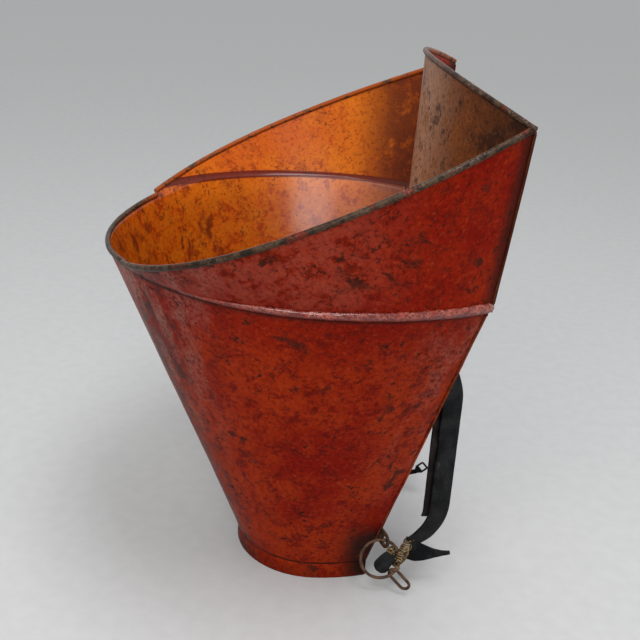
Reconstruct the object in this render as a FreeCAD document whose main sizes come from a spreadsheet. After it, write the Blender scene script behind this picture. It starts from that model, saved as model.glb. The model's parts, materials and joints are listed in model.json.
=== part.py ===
"""Grape-picker's hod: a sheet-metal back basket with shoulder straps.

Millimetres. +Z is up and +Y points at the wearer's back, so the low front lip faces -Y.
The origin is on the floor, under the middle of the hod's outer box.
"""
import FreeCAD, Part
import math
import os
import Sketcher

V = FreeCAD.Vector
X_AXIS = V(1, 0, 0)
Y_AXIS = V(0, 1, 0)
Z_AXIS = V(0, 0, 1)
SIDES = (("right", 1), ("left", -1))

# ---------------------------------------------------------------- driving dimensions
DIMENSIONS = [
    # name, value, meaning
    ("depth_middle", 8.35, "distance from the section axis back to the middle of the outer box"),
    ("sheet", 1.2, "thickness of the body sheets"),
    ("foot_height", 25, "height of the foot ring"),
    ("foot_wall", 1.6, "thickness of the foot ring"),
    ("foot_radius", 118, "outer radius of the foot ring's round front"),
    ("foot_centre", 63.5, "y of the round front's centre"),
    ("foot_half", 105, "half width at the foot's back corners"),
    ("foot_corner", 145, "y of the foot's back corners"),
    ("foot_hollow", 16, "depth of the foot's hollow back"),
    ("pan_level", 10.8, "underside of the floor pan"),
    ("pan_flange", 9, "depth of the pan's down-turned flange"),
    ("low_level", 12, "height of the tank's lower section"),
    ("low_radius", 112, "tank front radius there"),
    ("low_centre", 63.5, "y of its centre there"),
    ("low_half", 99.8, "half width at the back corners there"),
    ("low_corner", 140.6, "y of the back corners there"),
    ("low_hollow", 16, "depth of the hollow back there"),
    ("high_level", 540, "height of the tank's upper section, above its cut edge"),
    ("high_radius", 306, "tank front radius there"),
    ("high_centre", 40, "y of its centre there"),
    ("high_half", 237.5, "half width at the back corners there"),
    ("high_corner", 261.6, "y of the back corners there"),
    ("high_hollow", 85.6, "depth of the hollow back there"),
    ("edge_level", 522, "level top edge of the tank inside the collar"),
    ("edge_bend", 100, "y where the tank's edge starts to fall"),
    ("edge_end", 200, "y where the tank's edge ends inside the collar"),
    ("edge_end_level", 515, "height of the tank's edge at its end"),
    ("seam_level", 489, "lower edge of the collar at the back corners"),
    ("seam_slope", -0.04, "slope of the collar's lower edge, which rises to the front"),
    ("seam_radius", 293.8, "collar front radius at its lower edge"),
    ("seam_centre", 37, "y of its centre there"),
    ("seam_half", 230, "half width at the back corners there"),
    ("seam_corner", 252.5, "y of the back corners there"),
    ("seam_hollow", 79.7, "depth of the hollow back there"),
    ("rim_level", 720, "height of the rim at the back corners"),
    ("rim_radius", 378, "collar section radius at that height"),
    ("rim_centre", -90, "y of its centre there"),
    ("rim_half", 270, "half width at the back corners there"),
    ("rim_corner", 264.6, "y of the back corners there"),
    ("rim_hollow", 84.3, "depth of the hollow back there"),
    ("rim_crown", 41, "rise of the back rim's middle above its corners"),
    ("lip_level", 500, "height of the front lip"),
    ("lip_front", -250, "y of the front lip"),
    ("notch", -207, "y where the collar starts beside the front lip"),
    ("lip_slope", 0.21, "rise of the front lip per millimetre of y"),
    ("rim_low", 513, "height of the collar's rim at the notch"),
    ("bead", 3.4, "radius of the wired rim"),
    ("seam_bead", 6, "half height of the hammered seam bead"),
    ("seam_bead_start", 64, "angle from the front where the seam bead starts, degrees"),
    ("fold", 2, "radius of the corner folds"),
    ("fold_stand", 0.65, "distance of the folds from the corner, in their own radius"),
    ("fold_start", 98, "height where the lower corner folds start"),
    ("lap_height", 16, "height of the strip over the back joint"),
    ("lap_thick", 1.2, "its thickness"),
    ("lap_margin", 6, "gap between the strip's ends and the corners"),
    ("lap_rivet_head", 4, "radius of the strip's rivet heads"),
    ("lap_rivet_rise", 1.8, "height of those heads"),
    ("lap_rivet_count", 7, "rivets along the strip"),
    ("lap_rivet_pitch", 58, "distance between them"),
    ("rivet_head", 6, "radius of the heads at the seam's back ends"),
    ("rivet_rise", 3, "height of those heads"),
    ("rivet_out", 2.2, "distance of those heads outside the collar's corner"),
    ("rivet_ahead", 3, "distance of those heads in front of the collar's corner"),
    ("strap_offset", 122, "x of the strap's middle plane"),
    ("strap_reach", 241, "y of the strap's straight stretch"),
    ("strap_width", 38, "width of the strap"),
    ("strap_thick", 5, "thickness of the outer leather"),
    ("strap_straight_low", 140, "lower end of the straight stretch"),
    ("strap_straight_high", 300, "upper end of the straight stretch"),
    ("strap_low_radius", 75, "radius of the lower bend"),
    ("strap_low_turn", 60, "turn of the lower bend, degrees"),
    ("strap_high_radius", 300, "radius of the upper bend"),
    ("strap_high_turn", 24, "turn of the upper bend, degrees"),
    ("strap_taper_start", 0.9, "share of the strap's length where its tied end starts to narrow"),
    ("strap_taper", 0.4, "share of its width that the tied end loses"),
    ("strap_twist", 62, "turn of the strap's face towards the side, degrees"),
    ("strap_top_twist", -20.5, "turn of the strap's face at its top end, along the back panel, degrees"),
    ("lining_thick", 3.5, "thickness of the lining leather"),
    ("frame_rod", 2.3, "rod radius of the square strap loops"),
    ("frame_spacing", 22, "distance between a strap loop's bars"),
    ("fold_radius", 6.6, "outer radius of the leather folded round a bar"),
    ("eye_radius", 7.5, "centre line radius of the strap plate's eye"),
    ("eye_rod", 2.2, "rod radius of the eye"),
    ("plate_wide", 32, "width of the strap plates"),
    ("plate_tall", 46, "height of the strap plates"),
    ("plate_corner", 6, "radius of the strap plates' corners"),
    ("plate_rivet", 15, "distance of its rivets from its middle"),
    ("anchor_rivet_head", 4.5, "radius of the strap and hitch plates' rivet heads"),
    ("anchor_rivet_rise", 2.4, "height of those heads"),
    ("plate_thick", 2.5, "thickness of the strap plates"),
    ("ring_radius", 28.5, "centre line radius of the anchor ring"),
    ("ring_rod", 2.6, "rod radius of the anchor ring"),
    ("ring_lean", 20, "lean of the anchor ring, degrees"),
    ("hitch_level", 82.2, "height of the hitch plate's hole"),
    ("hitch_x", 84, "x of the hitch plate's first rivet end"),
    ("hitch_y", 147.6, "y of the hitch plate there"),
    ("hitch_angle", 20.3, "angle of the hitch plate along the back panel, degrees"),
    ("hitch_lean", 6, "lean of the hitch plate, degrees"),
    ("hitch_reach", 50, "distance along the plate to its hole"),
    ("hitch_hole", 6.5, "radius of the hole"),
    ("hitch_thick", 3, "thickness of the hitch plate"),
    ("hitch_back", 7, "length of the plate behind its start"),
    ("hitch_rivet_near", 3, "distance along the plate to its first rivet"),
    ("hitch_rivet_far", 27, "distance along the plate to its second rivet"),
    ("hitch_height", 23, "height of the hitch plate"),
    ("ring_aside", 6, "y distance from the anchor ring's middle to its highest point in the hole"),
    ("lashing_radius", 10, "radius of the wire lashing"),
    ("lashing_spare", 14, "its length beyond the strap's end and the ring"),
    ("lashing_round", 5, "rounding of its ends"),
    ("link_rod", 2.5, "rod radius of the oval link"),
    ("link_gap", 0.5, "gap between the link and the anchor ring"),
    ("link_turn", 45, "place of the link round the anchor ring, degrees from its lowest point"),
    ("link_half_width", 7.5, "half width of the oval link's centre line"),
    ("link_straight", 22, "straight side of the oval link"),
    ("tail_tube", 4.4, "outer radius of the tail's fold round the buckle's near bar"),
    ("tail_hole", 2.5, "inner radius of that fold"),
    ("buckle_size", 17, "outer size of the small square buckle"),
    ("buckle_bar", 3, "bar thickness of the buckle"),
    ("buckle_turn", 40, "rise of the buckle from the floor, degrees"),
]

doc = FreeCAD.newDocument("GrapeHod")
sheet = doc.addObject("Spreadsheet::Sheet", "Sizes")
for row, (alias, value, meaning) in enumerate(DIMENSIONS, start=1):
    sheet.set("A%d" % row, alias)
    sheet.set("B%d" % row, str(value))
    sheet.set("C%d" % row, meaning)
    sheet.setAlias("B%d" % row, alias)
doc.recompute()


def num(alias):
    """The number in a cell of the sheet."""
    return float(getattr(sheet, alias))


class Size:
    """A number that also carries the sheet expression it comes from."""

    def __init__(self, number, text):
        self.number = number
        self.text = text

    def _join(self, other, sign, result):
        other_text = other.text if isinstance(other, Size) else repr(float(other))
        return Size(result, "(%s %s %s)" % (self.text, sign, other_text))

    def __add__(self, other):
        return self._join(other, "+", self.number + value_of(other))

    def __sub__(self, other):
        return self._join(other, "-", self.number - value_of(other))

    def __mul__(self, other):
        return self._join(other, "*", self.number * value_of(other))

    def __truediv__(self, other):
        return self._join(other, "/", self.number / value_of(other))

    def __neg__(self):
        return Size(-self.number, "(0 - %s)" % self.text)


def value_of(item):
    return item.number if isinstance(item, Size) else float(item)


def cell(alias):
    return Size(num(alias), "Sizes.%s" % alias)


# ---------------------------------------------------------------- sketch helpers
def origin_plane(body, role):
    return next(f for f in body.Origin.OriginFeatures if f.Role == role)


def new_sketch(body, name, role="XY_Plane", offset=None):
    """A sketch on one of the body's origin planes, lifted along the plane's normal."""
    sketch = body.newObject("Sketcher::SketchObject", name)
    sketch.AttachmentSupport = [(origin_plane(body, role), "")]
    sketch.MapMode = "FlatFace"
    if offset is not None:
        sketch.setExpression("AttachmentOffset.Base.z", offset.text)
    return sketch


def tip_sketch(sketch):
    """Tip the sketch's plane about the line through the collar's lower back corners."""
    turn = "atan(Sizes.seam_slope)"
    tipped = FreeCAD.Rotation(X_AXIS, math.degrees(math.atan(num("seam_slope"))))
    sketch.AttachmentOffset = FreeCAD.Placement(V(0, 0, 0), tipped)
    sketch.setExpression("AttachmentOffset.Rotation.Angle", turn)
    sketch.setExpression("AttachmentOffset.Base.y", "Sizes.seam_corner * (1 - cos(%s))" % turn)
    sketch.setExpression("AttachmentOffset.Base.z", "Sizes.seam_level - Sizes.seam_corner * sin(%s)" % turn)


def pin(sketch, kind, args, size):
    """Add a dimension and bind it to its expression."""
    index = sketch.addConstraint(Sketcher.Constraint(kind, *args, size.number))
    sketch.setExpression("Constraints[%d]" % index, size.text)


def pin_point(sketch, geometry, end, point):
    """Fix a point by its two distances from the sketch's origin; None means on the axis."""
    across, along = point
    if across is None:
        sketch.addConstraint(Sketcher.Constraint("PointOnObject", geometry, end, -2))
    else:
        pin(sketch, "DistanceX", (-1, 1, geometry, end), across)
    pin(sketch, "DistanceY", (-1, 1, geometry, end), along)


def add_arc(sketch, start, finish, radius, turn):
    """An arc between two points. turn is 1 anticlockwise and -1 clockwise."""
    chord = finish - start
    middle = (start + finish) * 0.5
    height = math.sqrt(max(radius * radius - chord.Length * chord.Length / 4, 0))
    normal = V(-chord.y, chord.x, 0).normalize()
    centre = middle + normal * height * turn
    first, last = (start, finish) if turn > 0 else (finish, start)
    low = math.atan2(first.y - centre.y, first.x - centre.x)
    high = math.atan2(last.y - centre.y, last.x - centre.x)
    if high < low:
        high += 2 * math.pi
    circle = Part.Circle(centre, Z_AXIS, radius)
    index = sketch.addGeometry(Part.ArcOfCircle(circle, low, high), False)
    return index, (1, 2) if turn > 0 else (2, 1)


def outline(sketch, chain):
    """Close a chain of (point, radius, turn). The radius and turn are those of the edge
    from this point to the next, and a radius of None is a straight line."""
    numeric = [V(value_of(p[0]) if p[0] is not None else 0, value_of(p[1]), 0) for p, _, _ in chain]
    ends = []
    for i, (_, radius, turn) in enumerate(chain):
        start = numeric[i]
        finish = numeric[(i + 1) % len(chain)]
        if radius is None:
            index = sketch.addGeometry(Part.LineSegment(start, finish), False)
            ends.append((index, (1, 2)))
        else:
            ends.append(add_arc(sketch, start, finish, radius.number, turn))
    for i, (index, points) in enumerate(ends):
        after, after_points = ends[(i + 1) % len(ends)]
        sketch.addConstraint(Sketcher.Constraint("Coincident", index, points[1], after, after_points[0]))
    for (point, radius, _), (index, points) in zip(chain, ends):
        pin_point(sketch, index, points[0], point)
        if radius is not None:
            pin(sketch, "Radius", (index,), radius)


def bend(radius, centre, half, corner):
    """Radius of the side arc that leaves the round front square and ends at the corner."""
    out = radius - half
    back = corner - centre
    return (back * back + out * out) / (out * 2)


def hollow_bend(half, hollow):
    return (half * half + hollow * hollow) / (hollow * 2)


class Section:
    """One horizontal section of the hod: round front, bent sides, hollow back."""

    def __init__(self, prefix):
        self.radius = cell(prefix + "_radius")
        self.centre = cell(prefix + "_centre")
        self.half = cell(prefix + "_half")
        self.corner = cell(prefix + "_corner")
        self.hollow = cell(prefix + "_hollow")

    def inset(self, wall):
        inner = Section.__new__(Section)
        inner.radius = self.radius - wall
        inner.centre = self.centre
        inner.half = self.half - wall
        inner.corner = self.corner - wall
        inner.hollow = self.hollow
        return inner

    def side_bend(self):
        return bend(self.radius, self.centre, self.half, self.corner)

    def closed(self):
        """The whole outline, anticlockwise from the right side."""
        side = self.side_bend()
        return [
            ((self.radius, self.centre), side, 1),
            ((self.half, self.corner), hollow_bend(self.half, self.hollow), -1),
            ((-self.half, self.corner), side, 1),
            ((-self.radius, self.centre), self.radius, 1),
            ((None, self.centre - self.radius), self.radius, 1),
        ]

    def shell(self, wall):
        """The front and sides as a sheet of the given wall, open at the back."""
        end = self.corner - wall
        side = bend(self.radius, self.centre, self.half, end)
        radius = self.radius - wall
        half = self.half - wall
        inner_side = bend(radius, self.centre, half, end)
        return [
            ((self.half, end), None, 0),
            ((half, end), inner_side, -1),
            ((radius, self.centre), radius, -1),
            ((None, self.centre - radius), radius, -1),
            ((-radius, self.centre), inner_side, -1),
            ((-half, end), None, 0),
            ((-self.half, end), side, 1),
            ((-self.radius, self.centre), self.radius, 1),
            ((None, self.centre - self.radius), self.radius, 1),
            ((self.radius, self.centre), side, 1),
        ]

    def half_shell(self, wall, hand):
        """One side of the same sheet, from the front's middle to the back corner."""
        end = self.corner - wall
        side = bend(self.radius, self.centre, self.half, end)
        radius = self.radius - wall
        half = self.half - wall
        inner_side = bend(radius, self.centre, half, end)

        def across(size):
            return size if hand > 0 else -size
        return [
            ((across(self.half), end), None, 0),
            ((across(half), end), inner_side, -hand),
            ((across(radius), self.centre), radius, -hand),
            ((None, self.centre - radius), None, 0),
            ((None, self.centre - self.radius), self.radius, hand),
            ((across(self.radius), self.centre), side, hand),
        ]

    def back(self, wall):
        """The hollow back panel as a band of the given wall."""
        arc = hollow_bend(self.half, self.hollow)
        return [
            ((self.half, self.corner), None, 0),
            ((self.half, self.corner + wall), arc, -1),
            ((-self.half, self.corner + wall), None, 0),
            ((-self.half, self.corner), arc, 1),
        ]

    def back_point(self, across, level, lift=0):
        """A point on the back panel's outer face."""
        arc = value_of(hollow_bend(self.half, self.hollow))
        bow = arc - math.sqrt(arc * arc - across * across)
        return V(across, self.corner.number - self.hollow.number + bow + num("sheet") + lift, level)


FOOT = Section("foot")
LOW = Section("low")
HIGH = Section("high")
SEAM = Section("seam")
RIM = Section("rim")
SHEET = cell("sheet")


def between(low, high, share, name):
    """A number between the same measure of two sections."""
    first = getattr(low, name).number
    return first + (getattr(high, name).number - first) * share


def section_at(low, high, share):
    """The plain numbers of the section at a share of the way from low to high."""
    names = ("radius", "centre", "half", "corner", "hollow")
    return {name: between(low, high, share, name) for name in names}


# ---------------------------------------------------------------- node helpers
nodes = []


def keep(node, label):
    """Name a finished sub-part and set it in the hod's frame."""
    node.Label = label
    node.Placement = FreeCAD.Placement(V(0, -num("depth_middle"), 0), FreeCAD.Rotation())
    node.setExpression("Placement.Base.y", "0 - Sizes.depth_middle")
    nodes.append(node)


def keep_shape(shape, label):
    node = doc.addObject("Part::Feature", label)
    node.Shape = shape
    keep(node, label)


def new_body(name):
    return doc.addObject("PartDesign::Body", name + "_body")


def pad(body, sketch, length, name="Pad"):
    feature = body.newObject("PartDesign::Pad", name)
    feature.Profile = sketch
    feature.setExpression("Length", length.text)
    return feature


def loft(body, first, second):
    feature = body.newObject("PartDesign::AdditiveLoft", "Loft")
    feature.Profile = first
    feature.Sections = [second]
    feature.Ruled = True
    return feature


def trim(body, chain, name="Trim"):
    """Cut everything whose side view lies inside the chain of (y, z) points."""
    doc.recompute()
    before = body.Shape.Volume
    sketch = new_sketch(body, name + "Outline", "YZ_Plane")
    outline(sketch, [(point, None, 0) for point in chain])
    feature = body.newObject("PartDesign::Pocket", name)
    feature.Profile = sketch
    feature.SideType = "Symmetric"
    feature.Length = TRIM_SPAN
    doc.recompute()
    if body.Shape.Volume > before * (1 - LEAST_CUT):
        raise RuntimeError("%s of %s cut nothing" % (name, body.Name))
    return feature


# ---------------------------------------------------------------- rim planes
TRIM_SPAN = 2000
LEAST_CUT = 1e-5
CLEAR = Size(60.0, "60")
RIM_SLOPE = (cell("rim_level") - cell("rim_low")) / (cell("rim_corner") - cell("notch"))
CROWN_SLOPE = cell("rim_crown") / cell("rim_hollow")
BEAD_DROP = cell("bead") * 0.75


def rim_height(y):
    """Height of the collar's sloping rim over a given y."""
    return cell("rim_low") + RIM_SLOPE * (y - cell("notch"))


def lip_height(y):
    """Height of the tank's own lip over a given y."""
    return cell("lip_level") + cell("lip_slope") * (y - cell("lip_front"))


def collar_cut():
    """Side view of what lies over the collar's rim."""
    front = cell("lip_front") - CLEAR * 4
    rear = cell("rim_corner") + CLEAR
    top = cell("rim_level") + CLEAR * 2
    edge = [(front, rim_height(front) - BEAD_DROP), (rear, rim_height(rear) - BEAD_DROP)]
    return edge + [(rear, top), (front, top)]


def tank_cut():
    """Side view of what lies over the front lip and over the level edge behind it."""
    front = cell("lip_front") - CLEAR
    rear = cell("rim_corner") + CLEAR
    top = cell("rim_level")
    level = cell("edge_level")
    meet = cell("lip_front") + (level - cell("lip_level") + BEAD_DROP) / cell("lip_slope")
    end = cell("edge_end")
    covered = cell("seam_level") + cell("seam_bead")
    edge = [(front, lip_height(front) - BEAD_DROP), (meet, level), (cell("edge_bend"), level)]
    edge += [(end, cell("edge_end_level")), (end + 2, covered), (rear, covered)]
    return edge + [(rear, top), (front, top)]


# ---------------------------------------------------------------- the foot and floor
def foot_ring():
    body = new_body("foot_ring")
    ring = new_sketch(body, "RingOutline")
    outline(ring, FOOT.closed())
    outline(ring, FOOT.inset(cell("foot_wall")).closed())
    pad(body, ring, cell("foot_height"))
    keep(body, "foot_ring")


def floor_pan():
    body = new_body("floor_pan")
    inside = FOOT.inset(cell("foot_wall"))
    disc = new_sketch(body, "DiscOutline", offset=cell("pan_level"))
    outline(disc, inside.closed())
    pad(body, disc, SHEET, "Disc")
    flange = new_sketch(body, "FlangeOutline", offset=cell("pan_level") - cell("pan_flange"))
    outline(flange, inside.closed())
    outline(flange, inside.inset(SHEET).closed())
    pad(body, flange, cell("pan_flange") + SHEET, "Flange")
    keep(body, "floor_pan")


# ---------------------------------------------------------------- the tank and collar sheets
def tank_belly():
    body = new_body("tank_belly")
    low = new_sketch(body, "LowOutline", offset=cell("low_level"))
    outline(low, LOW.shell(SHEET))
    high = new_sketch(body, "HighOutline", offset=cell("high_level"))
    outline(high, HIGH.shell(SHEET))
    loft(body, low, high)
    trim(body, tank_cut())
    keep(body, "tank_belly")


def tank_back():
    body = new_body("tank_back")
    low = new_sketch(body, "LowOutline", offset=cell("low_level"))
    outline(low, LOW.back(SHEET))
    high = new_sketch(body, "HighOutline", offset=cell("high_level"))
    outline(high, HIGH.back(SHEET))
    loft(body, low, high)
    level = cell("seam_level") - 0.3
    far = cell("rim_corner") + CLEAR
    near = cell("lip_front")
    top = cell("rim_level")
    trim(body, [(near, level), (far, level), (far, top), (near, top)])
    keep(body, "tank_back")


def collar_side(name, hand):
    label = "collar_" + name
    body = new_body(label)
    low = new_sketch(body, "LowOutline")
    tip_sketch(low)
    outline(low, SEAM.half_shell(SHEET, hand))
    high = new_sketch(body, "HighOutline", offset=cell("rim_level"))
    outline(high, RIM.half_shell(SHEET, hand))
    loft(body, low, high)
    trim(body, collar_cut(), "RimTrim")
    front = cell("lip_front") - CLEAR * 4
    bottom = cell("seam_level") - CLEAR
    top = cell("rim_level") + CLEAR
    notch = cell("notch")
    trim(body, [(front, bottom), (notch, bottom), (notch, top), (front, top)], "NotchTrim")
    keep(body, label)


def collar_back():
    body = new_body("collar_back")
    low = new_sketch(body, "LowOutline", offset=cell("seam_level"))
    outline(low, SEAM.back(SHEET))
    rise = 1.25
    stretched = Section("rim")
    for name in ("radius", "centre", "half", "corner", "hollow"):
        first = getattr(SEAM, name)
        setattr(stretched, name, first + (getattr(RIM, name) - first) * rise)
    height = cell("seam_level") + (cell("rim_level") - cell("seam_level")) * rise
    high = new_sketch(body, "HighOutline", offset=height)
    outline(high, stretched.back(SHEET))
    loft(body, low, high)
    rear = cell("rim_corner") + CLEAR
    front = cell("rim_corner") - cell("rim_hollow") - CLEAR
    edge = cell("rim_level") - cell("bead") * 0.9
    at_rear = edge - CROWN_SLOPE * CLEAR
    at_front = edge + CROWN_SLOPE * (cell("rim_hollow") + CLEAR)
    top = height + CLEAR
    trim(body, [(rear, at_rear), (rear, top), (front, top), (front, at_front)])
    keep(body, "collar_back")


# ---------------------------------------------------------------- wired rims
def arc_middle(start, tangent, finish):
    """The middle of the arc that leaves start along the tangent and ends at finish."""
    chord = finish - start
    along = V(chord).normalize()
    side = tangent - along * tangent.dot(along)
    if side.Length < 1e-6:
        return None
    angle = math.atan2(side.Length, tangent.dot(along))
    return (start + finish) * 0.5 + side.normalize() * chord.Length / 2 * math.tan(angle / 2)


def tangent_edge(start, tangent, finish):
    middle = arc_middle(start, tangent, finish)
    if middle is None:
        return Part.LineSegment(start, finish).toShape()
    return Part.Arc(start, middle, finish).toShape()


def smooth_path(points, tangents):
    """Tangent arcs, two between each pair of points."""
    edges = []
    for i in range(len(points) - 1):
        start, finish = points[i], points[i + 1]
        out, back = tangents[i], tangents[i + 1]
        gap = finish - start
        total = out + back
        square = 2 * (1 - out.dot(back))
        if square < 1e-7:
            reach = gap.dot(gap) / (4 * gap.dot(back))
        else:
            root = math.sqrt(gap.dot(total) ** 2 + square * gap.dot(gap))
            reach = (root - gap.dot(total)) / square
        joint = (start + out * reach + finish - back * reach) * 0.5
        edges.append(tangent_edge(start, out, joint))
        edges.append(tangent_edge(finish, back * -1, joint))
    return Part.Wire(Part.__sortEdges__(edges))


def rod(path, radius, start, direction):
    """A round rod along a path."""
    profile = Part.Wire(Part.Circle(start, direction, radius).toShape())
    return path.makePipeShell([profile], True, False)


def collar_point(turn, hand):
    """Rim point at a turn from 0 at the front through 1 at the widest to 2 at the corner."""
    def on(section):
        radius, centre = section.radius.number, section.centre.number
        if turn <= 1:
            angle = turn * math.pi / 2
            return radius * math.sin(angle), centre - radius * math.cos(angle)
        arc = section.side_bend().number
        angle = math.asin((section.corner.number - centre) / arc) * (turn - 1)
        return radius - arc + arc * math.cos(angle), centre + arc * math.sin(angle)
    x_low, y_low = on(SEAM)
    x_high, y_high = on(RIM)
    z_low = num("seam_level") + num("seam_slope") * (y_low - SEAM.corner.number)
    rise = num("rim_level") - z_low
    slope = RIM_SLOPE.number
    gain = rise - slope * (y_high - y_low)
    share = (num("rim_low") + slope * (y_low - num("notch")) - z_low) / gain
    across = x_low + (x_high - x_low) * share
    return V(hand * across, y_low + (y_high - y_low) * share, z_low + rise * share)


def collar_tangent(turn, hand):
    step = 0.002
    return (collar_point(min(turn + step, 2), hand) - collar_point(max(turn - step, 0), hand)).normalize()


def notch_turn():
    low, high = 0.0, 1.0
    for _ in range(40):
        middle = (low + high) / 2
        if collar_point(middle, 1).y < num("notch"):
            low = middle
        else:
            high = middle
    return low


def rim_path(turns, hand):
    points = [collar_point(turn, hand) for turn in turns]
    tangents = [collar_tangent(turn, hand) for turn in turns]
    return points, tangents


def rim_bead(name, hand):
    first = notch_turn() + 0.004
    steps = 7
    turns = [first + (1.985 - first) * i / steps for i in range(steps + 1)]
    points, tangents = rim_path(turns, hand)
    keep_shape(rod(smooth_path(points, tangents), num("bead"), points[0], tangents[0]), "rim_bead_" + name)


def lip_point(angle):
    """A point of the tank's lip, at an angle from the front's middle."""
    level = num("lip_level")
    for _ in range(12):
        share = (level - num("low_level")) / (num("high_level") - num("low_level"))
        radius = between(LOW, HIGH, share, "radius") - num("sheet") / 2
        centre = between(LOW, HIGH, share, "centre")
        y = centre - radius * math.cos(angle)
        level = num("lip_level") + num("lip_slope") * (y - num("lip_front"))
    return V(radius * math.sin(angle), y, level)


def lip_bead():
    """The tank's own wired edge, round the front from notch to notch."""
    last = math.pi / 2
    while lip_point(last).y > num("notch") + 2:
        last -= 0.002
    steps = 8
    angles = [last * (2 * i / steps - 1) for i in range(steps + 1)]
    points = [lip_point(angle) for angle in angles]
    tangents = [(lip_point(angle + 0.002) - lip_point(angle - 0.002)).normalize() for angle in angles]
    keep_shape(rod(smooth_path(points, tangents), num("bead") * 0.95, points[0], tangents[0]), "lip_bead")


def back_bead():
    """The back rim's wire, an arc from corner to corner over the crown."""
    corner = V(num("rim_half"), num("rim_corner") + num("sheet") / 2, num("rim_level"))
    other = V(-corner.x, corner.y, corner.z)
    crown = V(0, corner.y - num("rim_hollow"), corner.z + num("rim_crown"))
    arc = Part.Arc(corner, crown, other)
    path = Part.Wire(arc.toShape())
    direction = V(arc.tangent(arc.FirstParameter)[0])
    keep_shape(rod(path, num("bead"), corner, direction), "rim_bead_back")


# ---------------------------------------------------------------- seams
def seam_bead(name, hand):
    """The half-round hammered bead over the collar's lower edge."""
    radius, centre = SEAM.radius.number, SEAM.centre.number
    level = num("seam_level") + num("seam_bead")
    arc = SEAM.side_bend().number
    start_angle = math.radians(num("seam_bead_start"))
    end_angle = math.asin((SEAM.corner.number - centre) / arc) * 0.985
    lift = 0.8

    def front(angle):
        reach = radius + lift
        return V(hand * reach * math.sin(angle), centre - reach * math.cos(angle), level)

    def side(angle):
        reach = arc + lift
        return V(hand * (radius - arc + reach * math.cos(angle)), centre + reach * math.sin(angle), level)
    quarter = math.pi / 2
    first = Part.Arc(front(start_angle), front((start_angle + quarter) / 2), front(quarter))
    second = Part.Arc(side(0), side(end_angle / 2), side(end_angle))
    path = Part.Wire([first.toShape(), second.toShape()])
    start = front(start_angle)
    outward = V(hand * math.sin(start_angle), -math.cos(start_angle), 0)
    high = start + Z_AXIS * num("seam_bead")
    low = start - Z_AXIS * num("seam_bead")
    bulge = Part.Arc(high, start + outward * num("seam_bead"), low)
    profile = Part.Wire([bulge.toShape(), Part.LineSegment(low, high).toShape()])
    bead = path.makePipeShell([profile], True, False)
    tip = FreeCAD.Rotation(X_AXIS, math.degrees(math.atan(num("seam_slope"))))
    pivot = V(0, SEAM.corner.number, num("seam_level"))
    keep_shape(bead.transformed(FreeCAD.Placement(V(0, 0, 0), tip, pivot).Matrix, True), "seam_bead_" + name)


def straight_rod(start, finish, radius):
    return Part.makeCylinder(radius, (finish - start).Length, start, finish - start)


def corner_fold(label, start, finish, hand):
    """The folded seam that joins the sides to the back panel."""
    out = num("fold") * num("fold_stand")
    shift = V(hand * out, num("sheet") + out, 0)
    start = V(hand * start.x, start.y, start.z) + shift
    finish = V(hand * finish.x, finish.y, finish.z) + shift
    keep_shape(straight_rod(start, finish, num("fold")), label)


def corner_folds(name, hand):
    span = num("high_level") - num("low_level")

    def tank_corner(level):
        share = (level - num("low_level")) / span
        return V(between(LOW, HIGH, share, "half"), between(LOW, HIGH, share, "corner"), level)

    def collar_corner(level):
        share = (level - num("seam_level")) / (num("rim_level") - num("seam_level"))
        return V(between(SEAM, RIM, share, "half"), between(SEAM, RIM, share, "corner"), level)
    corner_fold("fold_low_" + name, tank_corner(num("fold_start")), tank_corner(num("seam_level") - 2), hand)
    top = num("rim_level") - num("bead") - 1
    corner_fold("fold_high_" + name, collar_corner(num("seam_level") + 16), collar_corner(top), hand)


def back_lap():
    """The flat strip soldered over the joint of the two back panels."""
    level = num("seam_level") - num("lap_height") / 2
    section = Section("seam")
    arc = hollow_bend(section.half, section.hollow).number
    middle_y = section.corner.number - section.hollow.number + num("sheet") + 0.3
    centre = V(0, middle_y + arc, level)
    half_angle = math.asin((section.half.number - num("lap_margin")) / arc)
    inner_arc = arc - num("lap_thick")

    def at(radius, angle):
        return centre + V(radius * math.sin(angle), -radius * math.cos(angle), 0)
    edges = [
        Part.Arc(at(arc, -half_angle), at(arc, 0), at(arc, half_angle)).toShape(),
        Part.LineSegment(at(arc, half_angle), at(inner_arc, half_angle)).toShape(),
        Part.Arc(at(inner_arc, half_angle), at(inner_arc, 0), at(inner_arc, -half_angle)).toShape(),
        Part.LineSegment(at(inner_arc, -half_angle), at(arc, -half_angle)).toShape(),
    ]
    face = Part.Face(Part.Wire(edges))
    keep_shape(face.extrude(Z_AXIS * num("lap_height")), "back_lap")


# ---------------------------------------------------------------- rivets
def dome(radius, height):
    """A rivet head that stands on the origin with +Z out."""
    ball = (radius * radius + height * height) / (2 * height)
    sphere = Part.makeSphere(ball, V(0, 0, height - ball))
    return sphere.common(Part.makeCylinder(radius + 1, height + 1))


def placed(shape, base, out):
    copy = shape.copy()
    copy.Placement = FreeCAD.Placement(base, FreeCAD.Rotation(Z_AXIS, out))
    return copy


def corner_rivets():
    """The round heads that close the seam bead at each back corner."""
    heads = []
    for _, hand in SIDES:
        level = num("seam_level") + num("seam_bead")
        across = SEAM.half.number + num("rivet_out")
        base = V(hand * across, SEAM.corner.number - num("rivet_ahead"), level)
        heads.append(placed(dome(num("rivet_head"), num("rivet_rise")), base, V(hand, 0.45, -0.15)))
    keep_shape(Part.makeCompound(heads), "corner_rivets")


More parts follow.
